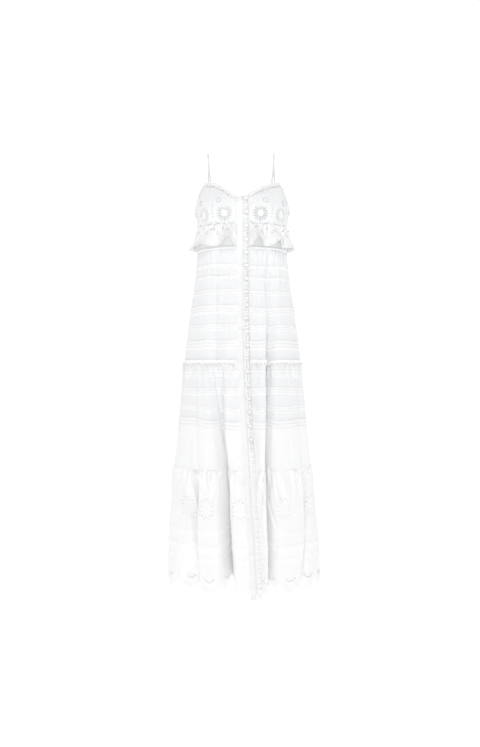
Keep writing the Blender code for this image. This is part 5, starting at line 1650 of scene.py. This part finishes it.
# PLACKET
# A plain stitched band down the whole front opening, with a narrow gathered and pointed frill in its free
# edge. Nineteen covered buttons sit on the frill, each held by a rouleau loop from the band's edge.
PLACKET_END = -1.366
BAND_STAND = 0.0008 + 0.0013
BAND_ROWS = 430
BAND_ACROSS = (-0.0095, -0.0088, -0.0080, -0.0060, -0.0030, 0.0, 0.0030, 0.0060, 0.0078, 0.0087, 0.0095)
PLACKET_FRILL_STAND = 0.0024 + 0.0013
PLACKET_FRILL_WAVE = 0.0070
FRILL_SWAY = 0.0018
FRILL_HEM = PLACKET_END + 0.002
# Scallops of the frill's free edge: length and height
FRILL_SCALLOP = (0.0068, 0.0022)
FRILL_GRID = 0.0019
# Rows of eyelets in the placket's frill: place across, rise above the first row's places, and radius
FRILL_EYELETS = ((0.0218, 0.0, 0.0014), (0.0150, 0.0031, 0.0012))
EYELET_DROP = 0.0062
BUTTON_ACROSS = 0.0195
BUTTON_FIRST = -0.1640
BUTTON_PITCH = 0.0406
BUTTON_COUNT = 19
BUTTONED = BUTTON_FIRST - BUTTON_PITCH * BUTTON_COUNT
RUFFLES = (0.0096, 0.0170)
BUTTON_RADIUS = 0.0056
BUTTON_HEIGHT = 0.0046
FACE_ACROSS = np.linspace(-0.0120, 0.0300, 12)
UPPER_HEIGHTS = np.arange(-0.1500, WAIST, -0.010)
FACE_HEIGHTS = np.concatenate([UPPER_HEIGHTS, [WAIST], np.arange(-0.3245, -1.3800, -0.012)])


def front_points(across, heights):
    """Points of the front's outer face beside the placket's line, and their directions."""
    centre = at_level(RIDGES, np.full(heights.shape, PLACKET_RIDGE), heights)
    angle = angle_across(form(centre, heights)[..., 0] + across, heights)
    under = np.minimum(heights, WAIST)
    lines = np.array([fold_at(a, h) for a, h in zip(angle.ravel(), under.ravel())]).reshape(angle.shape)
    upper = heights > WAIST
    lengths = length_at(angle)
    point = np.where(upper[..., None], bodice(lengths, heights), skirt(lines, heights))
    out = np.where(upper[..., None], bodice_out(lengths, heights), skirt_out(lines, heights))
    return point, out


face_grid = np.meshgrid(FACE_ACROSS, FACE_HEIGHTS)
FACE_POINTS, FACE_OUTS = front_points(*face_grid)


def on_front(across, heights):
    """The same face read between the points worked out above."""
    column = np.interp(across, FACE_ACROSS, np.arange(len(FACE_ACROSS)))
    row = np.interp(-heights, -FACE_HEIGHTS, np.arange(len(FACE_HEIGHTS)))
    c = np.minimum(column.astype(int), len(FACE_ACROSS) - 2)
    r = np.minimum(row.astype(int), len(FACE_HEIGHTS) - 2)
    s, t = (column - c)[..., None], (row - r)[..., None]
    found = []
    for table in (FACE_POINTS, FACE_OUTS):
        low = table[r, c] * (1 - s) + table[r, c + 1] * s
        high = table[r + 1, c] * (1 - s) + table[r + 1, c + 1] * s
        found.append(low * (1 - t) + high * t)
    found[1] /= np.linalg.norm(found[1], axis=-1, keepdims=True)
    return found


top = NECK_RIGHT[0][1]
heights = np.linspace(PLACKET_END, top, BAND_ROWS)
v, u = np.meshgrid(heights, BAND_ACROSS, indexing="ij")
base, out = on_front(u, v)
edge_roll = -0.0011 * smooth((np.abs(u) - 0.0070) / 0.0024)
stitch_dip = -0.0007 * np.exp(-(((np.abs(u) - 0.0062) / 0.0008) ** 2))
away = BAND_STAND + edge_roll + stitch_dip
away += crumple(v, u * 0.3, 0.0010, 110) + crumple(u * 3.0, v * 0.25, 0.0005, 111)
points = (base + out * away[..., None]).reshape(-1, 3)
flat = np.stack([u, v], axis=-1).reshape(-1, 2)
faces = grid_faces(len(BAND_ACROSS), len(heights))
piece = sew("placket_band_cotton", points, out.reshape(-1, 3), faces, flat, trim)
fit(piece, ["placket_band"])


def button_distance(heights):
    """How far above or below the nearest button."""
    number = np.clip(np.round((BUTTON_FIRST - heights) / BUTTON_PITCH), 0, BUTTON_COUNT - 1)
    return np.abs(heights - BUTTON_FIRST + BUTTON_PITCH * number)


def frill_share(across):
    """How far across the placket's frill, from 0 at the band to 1 at its free edge."""
    return np.clip((across - BAND_HALF_WIDTH) / (FRILL_END - BAND_HALF_WIDTH), 0, 1)


def frill_stand(across, heights):
    """How far the placket's frill stands off the front: uneven ruffles, held down by the buttons, which arch
    over from the band and come down at the free edge."""
    share = frill_share(across)
    arch = smooth(share / 0.55) * (1 - 0.7 * smooth((share - 0.74) / 0.26))
    held = 0.10 + 0.90 * smooth((button_distance(heights) - 0.0045) / 0.0060)
    ruffle = 0.60 + 0.26 * np.sin(2 * np.pi * heights / RUFFLES[0] + 2.1 * np.sin(heights * 97))
    ruffle = ruffle + 0.22 * np.sin(2 * np.pi * heights / RUFFLES[1] + 1.3 * np.sin(heights * 59 + 1))
    lower = 1 - 0.55 * smooth((BUTTONED - heights) / 0.04)
    return PLACKET_FRILL_STAND + PLACKET_FRILL_WAVE * arch * held * ruffle * lower


def frill_sway(across, heights):
    """How far the frill's free edge swings to either side of its even place."""
    swing = np.sin(2 * np.pi * heights / RUFFLES[1] + 1.3 * np.sin(heights * 59 + 2))
    return FRILL_SWAY * frill_share(across) ** 2 * (swing - 0.9)


frill_top = BUTTON_FIRST + BUTTON_PITCH / 8
edge_v = np.arange(FRILL_HEM, frill_top, 0.0012)
edge_u = FRILL_END - FRILL_SCALLOP[1] * np.abs(np.sin(math.pi * edge_v / FRILL_SCALLOP[0]))
inner_v = np.arange(frill_top, FRILL_HEM, -0.0030)
outline = np.concatenate([
    np.stack([edge_u, edge_v], axis=-1),
    [(a, frill_top) for a in (0.0230, 0.0190, 0.0150, 0.0120)],
    [(BAND_HALF_WIDTH + SEAM_GAP, h) for h in inner_v],
    [(a, FRILL_HEM) for a in (0.0120, 0.0150, 0.0190, 0.0230)],
])
hole_heights = np.arange(PLACKET_END + 0.0067, frill_top - 0.004, EYELET_DROP)
holes = []
for across, rise, radius in FRILL_EYELETS:
    for height in hole_heights[hole_heights > BUTTONED]:
        if rise == 0 or button_distance(height) > 0.006:
            holes.append(eyelet(across, height + rise, radius, 6))
inner = grid_within((BAND_HALF_WIDTH + SEAM_GAP, PLACKET_END), (FRILL_END, frill_top), FRILL_GRID)
inner = apart(inner, outline, 0.0011)
flat, triangles, stitched = pattern_piece(outline, holes, inner, 0.0004)
base, out = on_front(flat[:, 0] + frill_sway(flat[:, 0], flat[:, 1]), flat[:, 1])
edging = smooth((flat[:, 0] - FRILL_END + 0.0030) / 0.0008)
away = frill_stand(flat[:, 0], flat[:, 1]) + stitch_relief(stitched, edging)
points = base + out * away[:, None]
piece = sew("placket_frill_lawn", points, out, triangles, flat, trim, 0.1, np.maximum(stitched, edging))
fit(piece, ["placket_frill"])

# BUTTONS AND LOOPS
# Each button is a low dome covered in cotton and drawn in under its rim. Each loop is a thin rouleau that
# comes out of the band's edge, goes round its button and back.
BUTTON_FOOT = 0.86
# Shares of the button's radius and height, from its foot up
BUTTON_PROFILE = (
    (1.00, 0.10), (1.02, 0.24), (0.95, 0.45), (0.78, 0.70), (0.52, 0.89), (0.24, 0.98), (0.06, 1.00),
)
LOOP_RADIUS = 0.0009
LOOP_REACH = 0.0072
LOOP_SIDES = 7
LOOP_RINGS = 34
# How far round its button a loop goes to either side, in degrees
LOOP_TURN = 140
# Where a loop leaves the band: places across, and half the distance between its two ends there
LOOP_ENDS = ((0.0075, 0.0030), (0.0100, 0.0032))
covered_cotton = cotton("button_cover", (0.90,) * 3, (0.93,) * 3, 0.00050, 0.45, 0.10)

bpy.ops.object.select_all(action="DESELECT")
bpy.ops.mesh.primitive_cylinder_add(vertices=24, radius=BUTTON_RADIUS * BUTTON_FOOT, depth=0.0002)
button = bpy.context.object
button.name = "covered_button"
bpy.ops.object.mode_set(mode="EDIT")
bpy.ops.mesh.select_all(action="DESELECT")
bpy.ops.mesh.select_mode(type="FACE")
bpy.ops.object.mode_set(mode="OBJECT")
for face in button.data.polygons:
    face.select = face.normal.z > 0.9
bpy.ops.object.mode_set(mode="EDIT")
radius_now, rise_now = BUTTON_FOOT, 0.0
for radius, rise in BUTTON_PROFILE:
    up = (rise - rise_now) * BUTTON_HEIGHT
    bpy.ops.mesh.extrude_region_move(TRANSFORM_OT_translate={"value": (0, 0, up)})
    share = radius / radius_now
    bpy.ops.transform.resize(value=(share, share, 1), center_override=(0, 0, rise * BUTTON_HEIGHT))
    radius_now, rise_now = radius, rise
bpy.ops.mesh.select_all(action="SELECT")
bpy.ops.mesh.normals_make_consistent(inside=False)
bpy.ops.object.mode_set(mode="OBJECT")
cover = button.data
cover.uv_layers[0].name = "cloth"
for loop in cover.loops:
    cover.uv_layers["cloth"].uv[loop.index].vector = cover.vertices[loop.vertex_index].co.xy
layer = cover.attributes.new("doubled", "FLOAT", "POINT")
layer.data.foreach_set("value", np.full(len(cover.vertices), 0.6, np.float32))
cover.materials.append(covered_cotton)
cover.shade_smooth()
cover.set_sharp_from_angle(angle=math.radians(60))

copies = []
loop_points, loop_faces, loop_flats = [], [], []
for number in range(BUTTON_COUNT):
    height = BUTTON_FIRST - BUTTON_PITCH * number
    low_corner, high_corner = (Vector(corner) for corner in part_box(f"button_{number + 1:02d}"))
    _, out = on_front(np.array([BUTTON_ACROSS]), np.array([height]))
    out = Vector(out[0])
    side = Vector((-out.y, out.x, 0)).normalized()
    place = Matrix((side, out.cross(side), out)).transposed().to_4x4()
    place.translation = (low_corner + high_corner) / 2 - out * BUTTON_HEIGHT * 0.5
    one = button.copy()
    one.data = cover.copy()
    one.data.transform(place)
    bpy.context.scene.collection.objects.link(one)
    copies.append(one)
    turns = np.radians(np.linspace(LOOP_TURN, -LOOP_TURN, 13))
    ring_u = BUTTON_ACROSS + LOOP_REACH * np.cos(turns)
    ring_v = height + LOOP_REACH * np.sin(turns)
    path_u = np.concatenate([[a for a, _ in LOOP_ENDS], ring_u, [a for a, _ in LOOP_ENDS[::-1]]])
    ends_above, ends_below = [height + b for _, b in LOOP_ENDS], [height - b for _, b in LOOP_ENDS[::-1]]
    path_v = np.concatenate([ends_above, ring_v, ends_below])
    base_line, out_line = on_front(path_u, path_v)
    stand = np.maximum(frill_stand(path_u, path_v), BAND_STAND + 0.0004) + LOOP_RADIUS + 0.0004
    path = curve_through(base_line + out_line * stand[:, None], LOOP_RINGS)
    tube_points, _, tube_flat = tube(path, LOOP_RADIUS, LOOP_SIDES)
    loop_faces += [tuple(len(loop_points) + i for i in face) for face in tube_faces(len(path), LOOP_SIDES)]
    loop_points += tube_points.tolist()
    loop_flats += tube_flat.tolist()
bpy.data.objects.remove(button)
bpy.ops.object.select_all(action="DESELECT")
for one in copies:
    one.select_set(True)
bpy.context.view_layer.objects.active = copies[0]
bpy.ops.object.join()
buttons = bpy.context.view_layer.objects.active
buttons.name = "covered_buttons"
buttons.data.name = "covered_buttons"
fit(buttons, [f"button_{number + 1:02d}" for number in range(BUTTON_COUNT)])
loops = solid_piece("button_loops", loop_points, loop_faces, loop_flats, rouleau)
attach(loops, "root")
